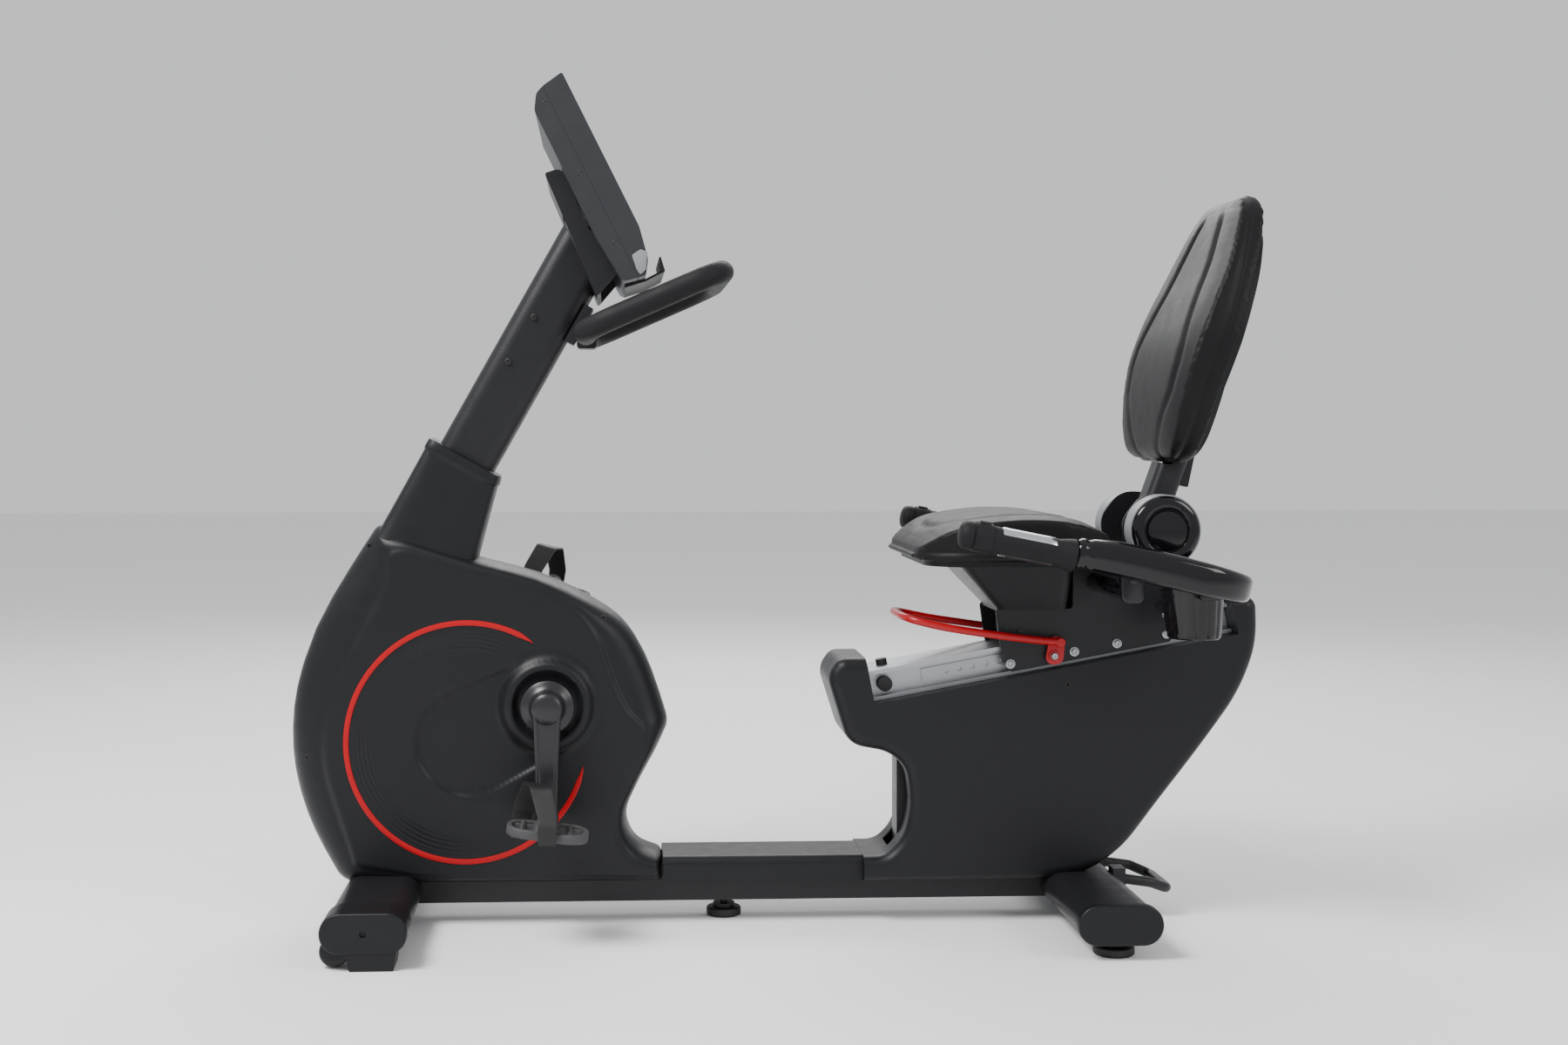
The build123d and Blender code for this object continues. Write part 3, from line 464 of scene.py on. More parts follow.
def tidyMesh(piece, merge=0.00002):
    useOnly(piece)
    bpy.ops.object.mode_set(mode="EDIT")
    bpy.ops.mesh.select_all(action="SELECT")
    bpy.ops.mesh.remove_doubles(threshold=merge)
    bpy.ops.mesh.normals_make_consistent(inside=False)
    bpy.ops.object.mode_set(mode="OBJECT")


def flipNormals(piece):
    useOnly(piece)
    bpy.ops.object.mode_set(mode="EDIT")
    bpy.ops.mesh.select_all(action="SELECT")
    bpy.ops.mesh.flip_normals()
    bpy.ops.object.mode_set(mode="OBJECT")


def smooth(piece, angle):
    useOnly(piece)
    bpy.ops.object.shade_smooth_by_angle(angle=math.radians(angle))


def bevelEdges(piece, width, segments, angle=35):
    bevel = piece.modifiers.new("softEdge", "BEVEL")
    bevel.width = width
    bevel.segments = segments
    bevel.limit_method = "ANGLE"
    bevel.angle_limit = math.radians(angle)
    applyModifiers(piece)


def setPoints(piece, points):
    flat = np.asarray(points, dtype=np.float32).reshape(-1)
    piece.data.vertices.foreach_set("co", flat)
    piece.data.update()


def getPoints(piece):
    flat = np.empty(len(piece.data.vertices) * 3, dtype=np.float32)
    piece.data.vertices.foreach_get("co", flat)
    return flat.reshape(-1, 3).astype(float)


def getNormals(piece):
    flat = np.empty(len(piece.data.vertices) * 3, dtype=np.float32)
    piece.data.vertices.foreach_get("normal", flat)
    return flat.reshape(-1, 3)


def joinPieces(pieces, angle=None):
    useOnly(pieces[0])
    for piece in pieces[1:]:
        piece.select_set(True)
    bpy.ops.object.join()
    whole = bpy.context.object
    if angle:
        smooth(whole, angle)
    return whole


def copyPiece(piece, name):
    twin = piece.copy()
    twin.data = piece.data.copy()
    twin.name = name
    scene.collection.objects.link(twin)
    return twin


def mirrorPiece(piece, name):
    twin = copyPiece(piece, name)
    points = getPoints(twin)
    points[:, 1] *= -1
    setPoints(twin, points)
    flipNormals(twin)
    return twin


def cutWith(piece, tool):
    cut = piece.modifiers.new("cut", "BOOLEAN")
    cut.operation = "DIFFERENCE"
    cut.solver = "EXACT"
    cut.object = tool
    applyModifiers(piece)
    bpy.data.objects.remove(tool)


def finishPiece(piece, name, body, stands, finish):
    piece.name = name
    piece.data.name = name
    dress(piece, finish)
    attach(piece, body)
    for node in stands:
        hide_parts(node)


def roundCorners(points, most=9, closed=True, room=0.47, every=math.radians(7)):
    # millimetre control points (x, z[, radius]) to a smooth line in metres
    line = []
    count = len(points)
    for index, here in enumerate(points):
        h = np.array(here[:2], dtype=float)
        if not closed and index in (0, count - 1):
            line.append(h)
            continue
        b = np.array(points[index - 1][:2], dtype=float)
        a = np.array(points[(index + 1) % count][:2], dtype=float)
        inward, outward = h - b, a - h
        before, after = np.hypot(*inward), np.hypot(*outward)
        inward, outward = inward / before, outward / after
        turn = math.atan2(inward[0] * outward[1] - inward[1] * outward[0], inward @ outward)
        radius = min(here[2] if len(here) > 2 else most,
                     room * min(before, after) / math.tan(abs(turn) / 2) if abs(turn) > 0.001 else 0)
        if radius < 0.01:
            line.append(h)
            continue
        reach = radius * math.tan(abs(turn) / 2)
        start = h - inward * reach
        side = np.array([-inward[1], inward[0]]) * math.copysign(1, turn)
        middle = start + side * radius
        steps = max(2, int(abs(turn) / every) + 1)
        for k in range(steps + 1):
            a = turn * k / steps
            spin = np.array([[math.cos(a), -math.sin(a)], [math.sin(a), math.cos(a)]])
            line.append(middle + spin @ (start - middle))
    return np.array(line) / 1000


def evenSteps(line, count, closed=True):
    # the same line with evenly spaced points
    loop = np.vstack([line, line[:1]]) if closed else line
    legs = np.hypot(*np.diff(loop[:, :2], axis=0).T) if loop.shape[1] == 2 else \
        np.linalg.norm(np.diff(loop, axis=0), axis=1)
    along = np.concatenate([[0], np.cumsum(legs)])
    at = np.linspace(0, along[-1], count + 1)[:-1] if closed else np.linspace(0, along[-1], count)
    return np.stack([np.interp(at, along, loop[:, k]) for k in range(loop.shape[1])], axis=1)


def makeGrid(name, rows, columns, place):
    # a primitive grid laid over a surface given by place(u, v), both 0 to 1
    clearPick()
    bpy.ops.mesh.primitive_grid_add(x_subdivisions=columns, y_subdivisions=rows, size=1)
    piece = bpy.context.object
    piece.name = name
    flat = getPoints(piece)
    setPoints(piece, place(flat[:, 0] + 0.5, flat[:, 1] + 0.5))
    tidyMesh(piece)
    return piece


def ringGrid(name, rings):
    # a closed tube through rings of points in metres, each ring the same number of points
    rings = np.asarray(rings)
    rows, around = rings.shape[:2]

    def place(u, v):
        return rings[np.rint(v * (rows - 1)).astype(int), np.rint(u * around).astype(int) % around]

    return makeGrid(name, rows - 1, around, place)


def closeEnds(rings):
    # adds a ring shrunk to a point at each end
    rings = np.asarray(rings)
    ends = [np.tile(ring.mean(axis=0), (1, len(ring), 1)) for ring in (rings[0], rings[-1])]
    return np.concatenate([ends[0], rings, ends[1]])


def makePlate(name, line, y0, y1):
    # a flat outline (x, z) in metres pulled out from y0 to y1
    clearPick()
    bpy.ops.mesh.primitive_circle_add(vertices=len(line), radius=0.1, fill_type="NGON")
    piece = bpy.context.object
    piece.name = name
    setPoints(piece, [(x, y0, z) for x, z in line])
    bpy.ops.object.mode_set(mode="EDIT")
    bpy.ops.mesh.select_all(action="SELECT")
    bpy.ops.mesh.extrude_region_move(TRANSFORM_OT_translate={"value": (0, y1 - y0, 0)})
    bpy.ops.object.mode_set(mode="OBJECT")
    tidyMesh(piece)
    return piece


def makeTurned(name, profile, middle, axis, steps=64):
    # a closed profile of (radius, height) in mm spun about an axis through middle
    clearPick()
    bpy.ops.mesh.primitive_circle_add(vertices=len(profile), radius=0.1)
    piece = bpy.context.object
    piece.name = name
    axis = Vector(axis).normalized()
    side = axis.orthogonal().normalized()
    middle = Vector(middle)
    setPoints(piece, [middle + side * (r / 1000) + axis * (h / 1000) for r, h in profile])
    bpy.ops.object.mode_set(mode="EDIT")
    bpy.ops.mesh.select_all(action="SELECT")
    bpy.ops.mesh.spin(steps=steps, angle=2 * math.pi, center=middle, axis=axis)
    bpy.ops.object.mode_set(mode="OBJECT")
    tidyMesh(piece)
    return piece


def platePair(name, line, faces, bevel, segments):
    # the same plate on both sides of the middle plane, between two distances from it in mm
    pair = []
    for side in (-1, 1):
        plate = makePlate(name, line, *sorted(side * y / 1000 for y in faces))
        bevelEdges(plate, bevel, segments)
        pair.append(plate)
    return pair


def turnedPair(name, profile, middle, steps):
    # the same turned shape on the left and the right of the middle plane, whose y is the offset
    x, y, z = middle
    return [makeTurned(name, profile, (x, side * y, z), (0, side, 0), steps) for side in (-1, 1)]


def sweepAlong(name, path, section, up, endCaps=True):
    # section(s) gives the closed outline (side, up) in mm at share s of the path, in metres
    path = np.asarray(path, dtype=float)
    tangent = np.gradient(path, axis=0)
    tangent /= np.linalg.norm(tangent, axis=1)[:, None]
    up = np.asarray(up, dtype=float)
    ups = np.tile(up, (len(path), 1)) if up.ndim == 1 else up
    sides = np.cross(tangent, ups)
    sides /= np.linalg.norm(sides, axis=1)[:, None]
    ups = np.cross(sides, tangent)
    rings = []
    for k in range(len(path)):
        shape = np.array(section(k / (len(path) - 1))) / 1000
        rings.append(path[k] + shape[:, :1] * sides[k] + shape[:, 1:] * ups[k])
    return ringGrid(name, closeEnds(rings) if endCaps else rings)


def oval(halfWide, halfHigh, power=2.0, count=24):
    turns = np.linspace(0, 2 * math.pi, count, endpoint=False)
    c, s = np.cos(turns), np.sin(turns)
    return np.stack([halfWide * np.sign(c) * np.abs(c) ** (2 / power),
                     halfHigh * np.sign(s) * np.abs(s) ** (2 / power)], axis=1)


def between(at, table):
    # value at one place along a table of (place, value)
    return float(np.interp(at, [p for p, _ in table], [v for _, v in table]))


# drive covers: one skin over the outline, its height worked out from the edge inwards

driveCover = dict(
    outline=[(-690, 64, 40), (-745, 160), (-772, 260), (-770, 360), (-737, 470), (-679, 568),
             (-636, 634, 14), (-560, 607), (-467, 576), (-380, 556), (-300, 518), (-244, 482),
             (-208, 424), (-186, 362), (-172, 316, 30), (-190, 276), (-219, 226), (-244, 170),
             (-226, 122), (-182, 106, 12), (-182, 66, 3), (-300, 64)],
    shoulder=[((-690, 64), 34), ((-745, 160), 48), ((-772, 260), 46), ((-770, 360), 54),
              ((-737, 470), 64), ((-679, 568), 64), ((-636, 634), 44), ((-590, 618), 18),
              ((-467, 576), 15), ((-380, 556), 15), ((-300, 518), 22), ((-244, 482), 44),
              ((-208, 424), 56), ((-186, 362), 52), ((-172, 316), 40), ((-190, 276), 16),
              ((-219, 226), 13), ((-244, 170), 18), ((-226, 122), 24), ((-200, 108), 20),
              ((-182, 66), 8), ((-300, 64), 13), ((-560, 64), 16)],
    star=(-450, 165), face=66, rim=9, around=440, rings=78, wall=2.5, blend=7, round=0.9,
    # for a narrow and a wide shoulder: its width, how far the shelf drops, the last rise's width
    spread=[(16, 46), (1.5, 8), (5, 13)], gather=1.5,
    crank=(-364, 350), flywheel=(-487, 291), hole=34,
    dish=dict(depth=5.5, far=87, near=80, wall=7),
    hub=dict(rise=20, foot=84, slope=22, sink=11, mouth=57, lip=9))


def ease(x):
    x = np.clip(x, 0, 1)
    return x * x * (3 - 2 * x)


def coverHeights(points, line):
    # height of the cover's skin over points (x, z) in mm
    c = driveCover
    places = np.array([p for p, _ in c["shoulder"]], dtype=float)
    values = np.array([v for _, v in c["shoulder"]], dtype=float)
    loop = np.vstack([line, line[:1]])
    along = np.concatenate([[0], np.cumsum(np.hypot(*np.diff(loop, axis=0).T))])
    stops = sorted((along[np.argmin(np.hypot(*(line - p).T))], v) for p, v in zip(places, values))
    ends = [s for s, _ in stops]
    widths = np.interp(along[:-1], [ends[-1] - along[-1]] + ends + [ends[0] + along[-1]],
                       [stops[-1][1]] + [v for _, v in stops] + [stops[0][1]])
    near = np.full(len(points), 9e9)
    gaps = []
    for k in range(len(line)):
        a, leg = line[k], loop[k + 1] - line[k]
        share = np.clip(((points - a) @ leg) / (leg @ leg), 0, 1)
        gap = np.hypot(*(points - a - share[:, None] * leg).T)
        gaps.append(gap)
        near = np.minimum(near, gap)
    total = np.zeros(len(points))
    wide = np.zeros(len(points))
    for gap, width in zip(gaps, widths):
        weight = np.exp(-(gap - near) / c["blend"])
        total += weight
        wide += weight * width
    wide /= total
    span, fall, last = c["spread"]
    shelf = c["face"] - np.interp(wide, span, fall)
    share = np.clip(near / wide, 0, 1)
    height = c["rim"] + (shelf - c["rim"]) * np.sqrt(1 - (1 - share) ** 2) ** c["round"]
    height += (c["face"] - shelf) * ease((near - wide) / np.interp(wide, span, last))
    # shallow dish shaped like a drop round the flywheel and the crank
    dish, hub = c["dish"], c["hub"]
    start, end = np.array(c["flywheel"], float), np.array(c["crank"], float)
    length = np.hypot(*(end - start))
    axis = (end - start) / length
    away = points - start
    ahead = away @ axis
    beside = np.abs(away @ np.array([-axis[1], axis[0]]))
    slope = (dish["far"] - dish["near"]) / length
    lean = math.sqrt(1 - slope * slope)
    place = -slope * beside + lean * ahead
    drop = np.where(place < 0, np.hypot(beside, ahead) - dish["far"],
                    np.where(place > lean * length, np.hypot(beside, ahead - length) - dish["near"],
                             lean * beside + slope * ahead - dish["far"]))
    height -= dish["depth"] * ease(-drop / dish["wall"])
    # ring standing up round the crank
    away = np.hypot(*(points - end).T)
    height += hub["rise"] * ease((hub["foot"] - away) / hub["slope"])
    return height - hub["sink"] * ease((hub["mouth"] - away) / hub["lip"])


def makeDriveCover():
    c = driveCover
    line = evenSteps(roundCorners(c["outline"], most=1e9), c["around"]) * 1000
    star = np.array(c["star"], float)
    shares = (np.arange(c["rings"]) / (c["rings"] - 1)) ** c["gather"]
    flat = (line[None] + shares[:, None, None] * (star - line)[None])
    heights = coverHeights(flat.reshape(-1, 2), line).reshape(flat.shape[:2])
    skin = np.stack([flat[..., 0], heights, flat[..., 1]], axis=2)
    edge = skin[:1].copy()
    edge[..., 1] = 0.15
    skin = np.concatenate([edge, skin]) / 1000
    cover = ringGrid("driveCover", skin)
    bpy.ops.object.mode_set(mode="EDIT")
    mesh = bmesh.from_edit_mesh(cover.data)
    middle = Vector((c["crank"][0] / 1000, 0, c["crank"][1] / 1000))
    for face in mesh.faces:
        at = face.calc_center_median() - middle
        face.select_set(math.hypot(at.x, at.z) < c["hole"] / 1000)
    bmesh.update_edit_mesh(cover.data)
    bpy.ops.mesh.delete(type="FACE")
    for vert in mesh.verts:
        at = vert.co - middle
        away = math.hypot(at.x, at.z)
        if vert.is_boundary and away < 0.05:
            vert.co.x = middle.x + at.x * c["hole"] / 1000 / away
            vert.co.z = middle.z + at.z * c["hole"] / 1000 / away
    bmesh.update_edit_mesh(cover.data)
    bpy.ops.object.mode_set(mode="OBJECT")
    outward = cover.data.polygons[len(cover.data.polygons) // 2]
    if outward.normal.y < 0:
        flipNormals(cover)
    wall = cover.modifiers.new("wall", "SOLIDIFY")
    wall.thickness = c["wall"] / 1000
    wall.offset = -1
    applyModifiers(cover)
    smooth(cover, 50)
    return cover, line


rightCover, coverLine = makeDriveCover()
leftCover = mirrorPiece(rightCover, "coverLeft")
smooth(leftCover, 50)
finishPiece(rightCover, "driveCoverRight", "frame", ["drive_cover_right"], "driveBlack")
finishPiece(leftCover, "driveCoverLeft", "frame", ["drive_cover_left"], "driveBlack")
print("drive covers made")

accentRing = dict(middle=(-492, 292), radius=188, start=56, sweep=292, wide=4.1, thick=1.2, face=-66.4,
                  point=26, steps=260)


def makeAccentRing():
    r = accentRing
    length = r["radius"] * math.radians(r["sweep"])
    turns = np.radians(r["start"] + np.linspace(0, 1, r["steps"]) * r["sweep"])
    x, z = r["middle"]
    path = np.stack([x + r["radius"] * np.cos(turns), np.full(r["steps"], r["face"]),
                     z + r["radius"] * np.sin(turns)], axis=1) / 1000

    def section(share):
        left = min(share, 1 - share) * length
        wide = r["wide"] * min(1, left / r["point"]) ** 0.8 + 0.15
        return oval(wide, r["thick"], 3, 12)

    band = sweepAlong("accentBand", path, section, (0, -1, 0))
    smooth(band, 40)
    return band


finishPiece(makeAccentRing(), "accentBand", "frame", ["accent_ring"], "accentRed")

screws = dict(spots=[(-646, 600), (-277, 485), (-742, 268), (-196, 84)], seatSpots=[(462, 379)],
              sockets=[(0, -3.2), (2.1, -3.2), (2.5, -0.6), (3.3, 0.1), (4.4, 0.35), (4.9, -0.2), (4.9, -5),
                       (0, -5)])


def makeScrews():
    made = []
    depths = coverHeights(np.array(screws["spots"], float), coverLine)
    places = [(x, y, z) for (x, z), y in zip(screws["spots"], depths)]
    places += [(x, 78.2, z) for x, z in screws["seatSpots"]]
    for x, y, z in places:
        made += turnedPair("screw", screws["sockets"], (x / 1000, y / 1000, z / 1000), 20)
    return joinPieces(made, 40)


finishPiece(makeScrews(), "coverScrews", "frame", ["cover_screws"], "rubberBlack")
print("accent and screws made")

# crank arms: a domed hub, a fluted stem and the pedal eye

crankArm = dict(crank=(-364, 350), length=170, middle=106.5, steps=30,
                hub=[(0, 91), (40, 91), (42, 92.5), (41.5, 95), (36, 98.5), (30, 101), (26.5, 106),
                     (25.5, 112), (22, 116.5), (14, 118.6), (0, 119)],
                half=[(0, 23), (0.15, 21), (0.5, 18.5), (0.85, 17), (1, 16)],
                thick=[(0, 8.5), (0.2, 8), (1, 7)],
                eye=[(0, 98), (16, 98), (18, 100), (18, 113), (16, 116), (7.6, 116.3), (6.9, 114), (0, 114)])


def makeCrankArm(name, direction, side):
    a = crankArm
    x, z = a["crank"][0] / 1000, a["crank"][1] / 1000
    hub = makeTurned(name, a["hub"], (x, 0, z), (0, side, 0), 72)
    eye = makeTurned("eye", a["eye"], (x, 0, z + direction * a["length"] / 1000), (0, side, 0), 40)
    reach = direction * np.linspace(0, 1, a["steps"]) * a["length"] / 1000
    path = [(x, side * a["middle"] / 1000, z + far) for far in reach]

    def section(share):
        half, thick = between(share, a["half"]), between(share, a["thick"])
        flute = 2.2 * min(1, share / 0.12) * min(1, max(0, (0.86 - share) / 0.08))
        right = [(half, -thick), (half, thick - 2.5), (half - 2.5, thick), (half - 5.5, thick),
                 (half - 7.5, thick - flute)]
        return [(-half, -thick)] + right + [(-a, b) for a, b in right[:0:-1]]

    stem = sweepAlong("stem", path, section, (0, side, 0))
    bevelEdges(stem, 0.0009, 2, 20)
    return joinPieces([hub, eye, stem], 40)


finishPiece(makeCrankArm("armLeft", -1, -1), "crankArmLeft", "crank", ["crank_arm_left"],
            "armBlack")
finishPiece(makeCrankArm("armRight", 1, 1), "crankArmRight", "crank", ["crank_arm_right"],
            "armBlack")
print("crank arms made")

# pedals: an oval rim, a spindle barrel and tread bars, with a rubber strap

pedal = dict(crank=(-364, 350), arm=170, out=176, rimHalf=(4.5, 7), rimLow=0.006,
             rim=[(-54, -34, 30), (-54, 34, 30), (62, 42, 30), (62, -42, 30)],
             bars=[(-34, 33), (-14, 33), (16, 37), (38, 37)], barLow=0.0065, barHalf=(4.5, 7.5),
             studs=7, studGap=0.0095, studFoot=0.0008, stud=[(0, 0), (2.4, 0), (1.7, 2.2), (0, 2.4)],
             webs=(-20, 20), web=(-50, 57), webLow=0.0085, webHalf=(3, 7),
             barrel=[(9.1, -40), (13.5, -40), (15, -38.5), (15, 38), (12, 42), (0, 43), (0, 41), (9.1, 32)])
strapShape = dict(high=62, foot=50.5, thick=1.5, steps=60, wide=[(0, 15), (0.5, 17), (1, 13)],
                  slant=[(0, -40), (0.2, -37), (0.5, -20), (0.8, 2), (1, 6)])


def makePedal(name):
    # right-hand pedal about its spindle at the origin, inner face towards -Y
    p = pedal
    line = evenSteps(roundCorners(p["rim"]), 96)
    loop = [(x, y, -p["rimLow"]) for x, y in np.vstack([line, line[:1]])]
    parts = [sweepAlong(name, loop, lambda s: oval(*p["rimHalf"], 4.5, 20), (0, 0, 1), endCaps=False)]
    for x, half in p["bars"]:
        path = [(x / 1000, y / 1000, -p["barLow"]) for y in np.linspace(-half, half, 9)]
        parts.append(sweepAlong("bar", path, lambda s: oval(*p["barHalf"], 5, 16), (0, 0, 1)))
        for k in range(p["studs"]):
            foot = (x / 1000, (k - p["studs"] // 2) * p["studGap"], p["studFoot"])
            parts.append(makeTurned("stud", p["stud"], foot, (0, 0, 1), 10))
    for y in p["webs"]:
        path = [(x / 1000, y / 1000, -p["webLow"]) for x in np.linspace(*p["web"], 9)]
        parts.append(sweepAlong("web", path, lambda s: oval(*p["webHalf"], 5, 16), (0, 0, 1)))
    parts.append(makeTurned("barrel", p["barrel"], (0, 0, 0), (0, 1, 0), 40))
    return joinPieces(parts)


def makeStrap(name):
    t = strapShape
    right = [(20, t["high"], 14), (t["foot"], 10, 14), (t["foot"], -16)]
    left = [(-point[0],) + point[1:] for point in right[::-1]]
    line = evenSteps(roundCorners(left + right, closed=False), t["steps"], False)
    shares = np.linspace(0, 1, t["steps"])
    path = [(between(s, t["slant"]) / 1000, y, z) for s, (y, z) in zip(shares, line)]
    return sweepAlong(name, path, lambda s: oval(t["thick"], between(s, t["wide"]), 7, 20), (1, 0, 0))


def placePedal(piece, side, angle, tip):
    points = getPoints(piece)
    turn = math.radians(angle)
    x = points[:, 0] * math.cos(turn) + points[:, 2] * math.sin(turn)
    z = -points[:, 0] * math.sin(turn) + points[:, 2] * math.cos(turn)
    points[:, 0], points[:, 2] = x, z
    points[:, 1] *= side
    x, z = pedal["crank"]
    points += np.array([x, side * pedal["out"], z + tip * pedal["arm"]]) / 1000
    setPoints(piece, points)
    if side < 0:
        flipNormals(piece)
    smooth(piece, 40)


for word, side, angle, tip in (("left", -1, 7, -1), ("right", 1, 14, 1)):
    body = "pedal_l" if side < 0 else "pedal_r"
    tread = makePedal("tread")
    placePedal(tread, side, angle, tip)
    finishPiece(tread, "pedalTread_" + word, body, ["pedal_" + word], "treadDusty")
    strap = makeStrap("strap")
    placePedal(strap, side, angle, tip)
    finishPiece(strap, "pedalStrap_" + word, body, ["pedal_strap_" + word], "rubberBlack")
print("pedals made")

# seat handle bow: gloss arms that run round behind the seat

bow = dict(front=(250, 631), slope=-0.2, side=275, rear=694, corner=80, begin=424,
           high=[(0, 20), (2, 23), (12, 23.5), (14, 21.5), (18, 21.5), (20, 24), (60, 26.5), (120, 26.5),
                 (200, 25), (262, 22), (330, 19), (600, 18)],
           wide=[(0, 18), (2, 21), (12, 21.5), (14, 19.5), (18, 19.5), (20, 21.5), (120, 22), (262, 20),
                 (330, 16), (600, 15)],
           lift=[(0, 5), (60, 8), (150, 6), (262, 1), (600, 0)],
           square=[(0, 2.2), (100, 2.5), (262, 4), (600, 4)], stub=(256, 440),
           tab=[(492, 598), (528, 592), (526, 526), (494, 526)], tabFaces=(261, 279),
           bolt=[(0, 0), (6, 0), (6, 3), (4.6, 4), (0, 4)], boltHeights=(582, 560))


def bowZ(x):
    return bow["front"][1] + (x - bow["front"][0]) * bow["slope"]


def makeBow():
    b = bow
    plan = roundCorners([(b["begin"], -b["side"]), (b["rear"], -b["side"], b["corner"]),
                         (b["rear"], b["side"], b["corner"]), (b["begin"], b["side"])], closed=False)
    plan = evenSteps(plan, 220, False)
    path = np.stack([plan[:, 0], plan[:, 1], bowZ(plan[:, 0] * 1000) / 1000], axis=1)
    length = np.linalg.norm(np.diff(path, axis=0), axis=1).sum() * 1000
    up = Vector((0.2, 0, 1)).normalized()

    def section(share):
        at = min(share, 1 - share) * length
        ring = oval(between(at, b["wide"]), between(at, b["high"]), between(at, b["square"]), 32)
        ring[:, 1] += between(at, b["lift"])
        return ring

    arms = sweepAlong("bow", path, section, up)
    parts = [arms]
    for side in (-1, 1):
        line = [(x / 1000, side * b["side"] / 1000, bowZ(x) / 1000) for x in np.linspace(*b["stub"], 9)]
        parts.append(sweepAlong("stub", line, lambda s: oval(14, 14), up))
    parts += platePair("tab", roundCorners(b["tab"], 9), b["tabFaces"], 0.003, 3)
    for z in b["boltHeights"]:
        parts += turnedPair("bolt", b["bolt"], (0.51, b["tabFaces"][1] / 1000, z / 1000), 6)
    parts.append(makeTurned("cross", [(0, -276), (14, -276), (15, -275), (15, 275), (14, 276), (0, 276)],
                            (0.51, 0, 0.541), (0, 1, 0), 40))
    return joinPieces(parts, 40)


finishPiece(makeBow(), "seatBow", "seat", ["seat_handlebar"], "glossBlack")

grip = dict(side=275, start=250, length=176,
            radius=[(0, 9), (1, 13), (3, 17), (7, 20), (12, 21), (19, 21.4), (20, 20.2), (21.5, 20.2),
                    (22.5, 22.4), (48, 22.6), (50, 21), (58, 20.8), (148, 20.8), (152, 21.2), (160, 22.8),
                    (170, 24.6), (174.5, 24.8), (176, 23)],
            slot=(28, 44), slotHalf=6.3)


def makeGrip(side):
    g = grip
    marks = [p for p, _ in g["radius"]] + [60, 80, 100, 120, 140]
    marks = np.array(sorted(set(marks)))
    run = math.hypot(1, bow["slope"])
    x = g["start"] + marks / run
    path = np.stack([x, np.full(len(x), side * g["side"]), bowZ(x)], axis=1) / 1000
    shares = np.arange(len(marks)) / (len(marks) - 1)

    def section(share):
        at = float(np.interp(share, shares, marks))
        r = between(at, g["radius"])
        return oval(r, r, 2, 40)

    piece = sweepAlong("grip", path, section, (0.2, 0, 1))
    along = np.array([1, 0, bow["slope"]]) / run
    up = np.array([-bow["slope"], 0, 1]) / run
    start = np.array([g["start"], side * g["side"], bowZ(g["start"])])
    corners = [start + along * a + up * h for a, h in ((28, 15.5), (44, 15.5), (44, 30), (28, 30))]
    tool = makePlate("slot", [(p[0] / 1000, p[2] / 1000) for p in corners],
                     (side * g["side"] - g["slotHalf"]) / 1000, (side * g["side"] + g["slotHalf"]) / 1000)
    cutWith(piece, tool)
    return piece


seatGrips = joinPieces([makeGrip(-1), makeGrip(1)], 30)
finishPiece(seatGrips, "seatGrips", "seat", ["seat_grips"], "foamBlack")
print("seat handles made")

# bottle cup with flutes down its wall

cup = dict(place=(634, -178, 462), tilt=-0.05, around=112, flutes=14, depth=0.035,
           wall=[(0, 0), (30, 0), (38, 0.6), (40.4, 3), (41.3, 10), (43.2, 28), (45.3, 48), (47.3, 68),
                 (48.8, 80), (51, 82), (51.5, 84), (50.5, 86), (48.4, 86), (47.2, 84), (43.6, 50), (40, 18), (37.5, 6),
                 (34, 3), (0, 3)])


def makeCup():
    c = cup
    wall = np.array(c["wall"], float)

    def place(u, v):
        k = v * (len(wall) - 1)
        r = np.interp(k, np.arange(len(wall)), wall[:, 0])
        h = np.interp(k, np.arange(len(wall)), wall[:, 1])
        turn = 2 * math.pi * u
        fluted = (h > 5) & (h < 78) & (k < 9.5)
        r = r * (1 - np.where(fluted, c["depth"] * np.abs(np.cos(turn * c["flutes"] / 2)) ** 6, 0))
        offset = np.stack([r * np.cos(turn) + h * c["tilt"], r * np.sin(turn), h], axis=1)
        return (np.array(c["place"]) + offset) / 1000

    shell = makeGrid("cup", len(wall) - 1, c["around"], place)
    bracket = makePlate("bracket", roundCorners([(616, 528), (652, 528), (650, 550), (618, 556)], 6),
                        -0.262, -0.2275)
    bevelEdges(bracket, 0.002, 2)
    return joinPieces([shell, bracket], 40)


finishPiece(makeCup(), "bottleCup", "seat", ["bottle_holder"], "glossBlack")

# recline covers: stepped gloss discs, with a pale grey rim towards the seat's middle that is painted reflection of the
# bright surroundings on the discs' gloss side

hubCover = dict(hub=(611, 625), pinAt=(637, 658), pin=[(0, 114), (3.6, 114), (3.6, 117.4), (0, 117.6)],
                disc=[(20, 66.4), (52, 66.4), (55, 68), (55, 108), (53.5, 112), (50, 115.2), (45, 116),
                      (36.5, 116), (34.8, 115), (34, 112.8), (33, 112.8), (32, 115), (30.5, 117.6),
                      (27, 118.4), (0, 118.8), (0, 80), (20, 78)],
                # rim: pale grey band painted as a reflection on the discs' side
                rim=[(54.5, 69), (56.2, 69.5), (56.6, 71), (56.6, 106), (56.2, 107.6), (54.5, 108)])


def makeHubCovers():
    x, z = hubCover["hub"]
    pinX, pinZ = hubCover["pinAt"]
    black = turnedPair("disc", hubCover["disc"], (x / 1000, 0, z / 1000), 96)
    black += turnedPair("pin", hubCover["pin"], (pinX / 1000, 0, pinZ / 1000), 20)
    # painted reflection: a pale grey band stands for the bright surroundings seen in the gloss disc side
    pale = turnedPair("rim", hubCover["rim"], (x / 1000, 0, z / 1000), 96)
    return joinPieces(black, 40), joinPieces(pale, 40)


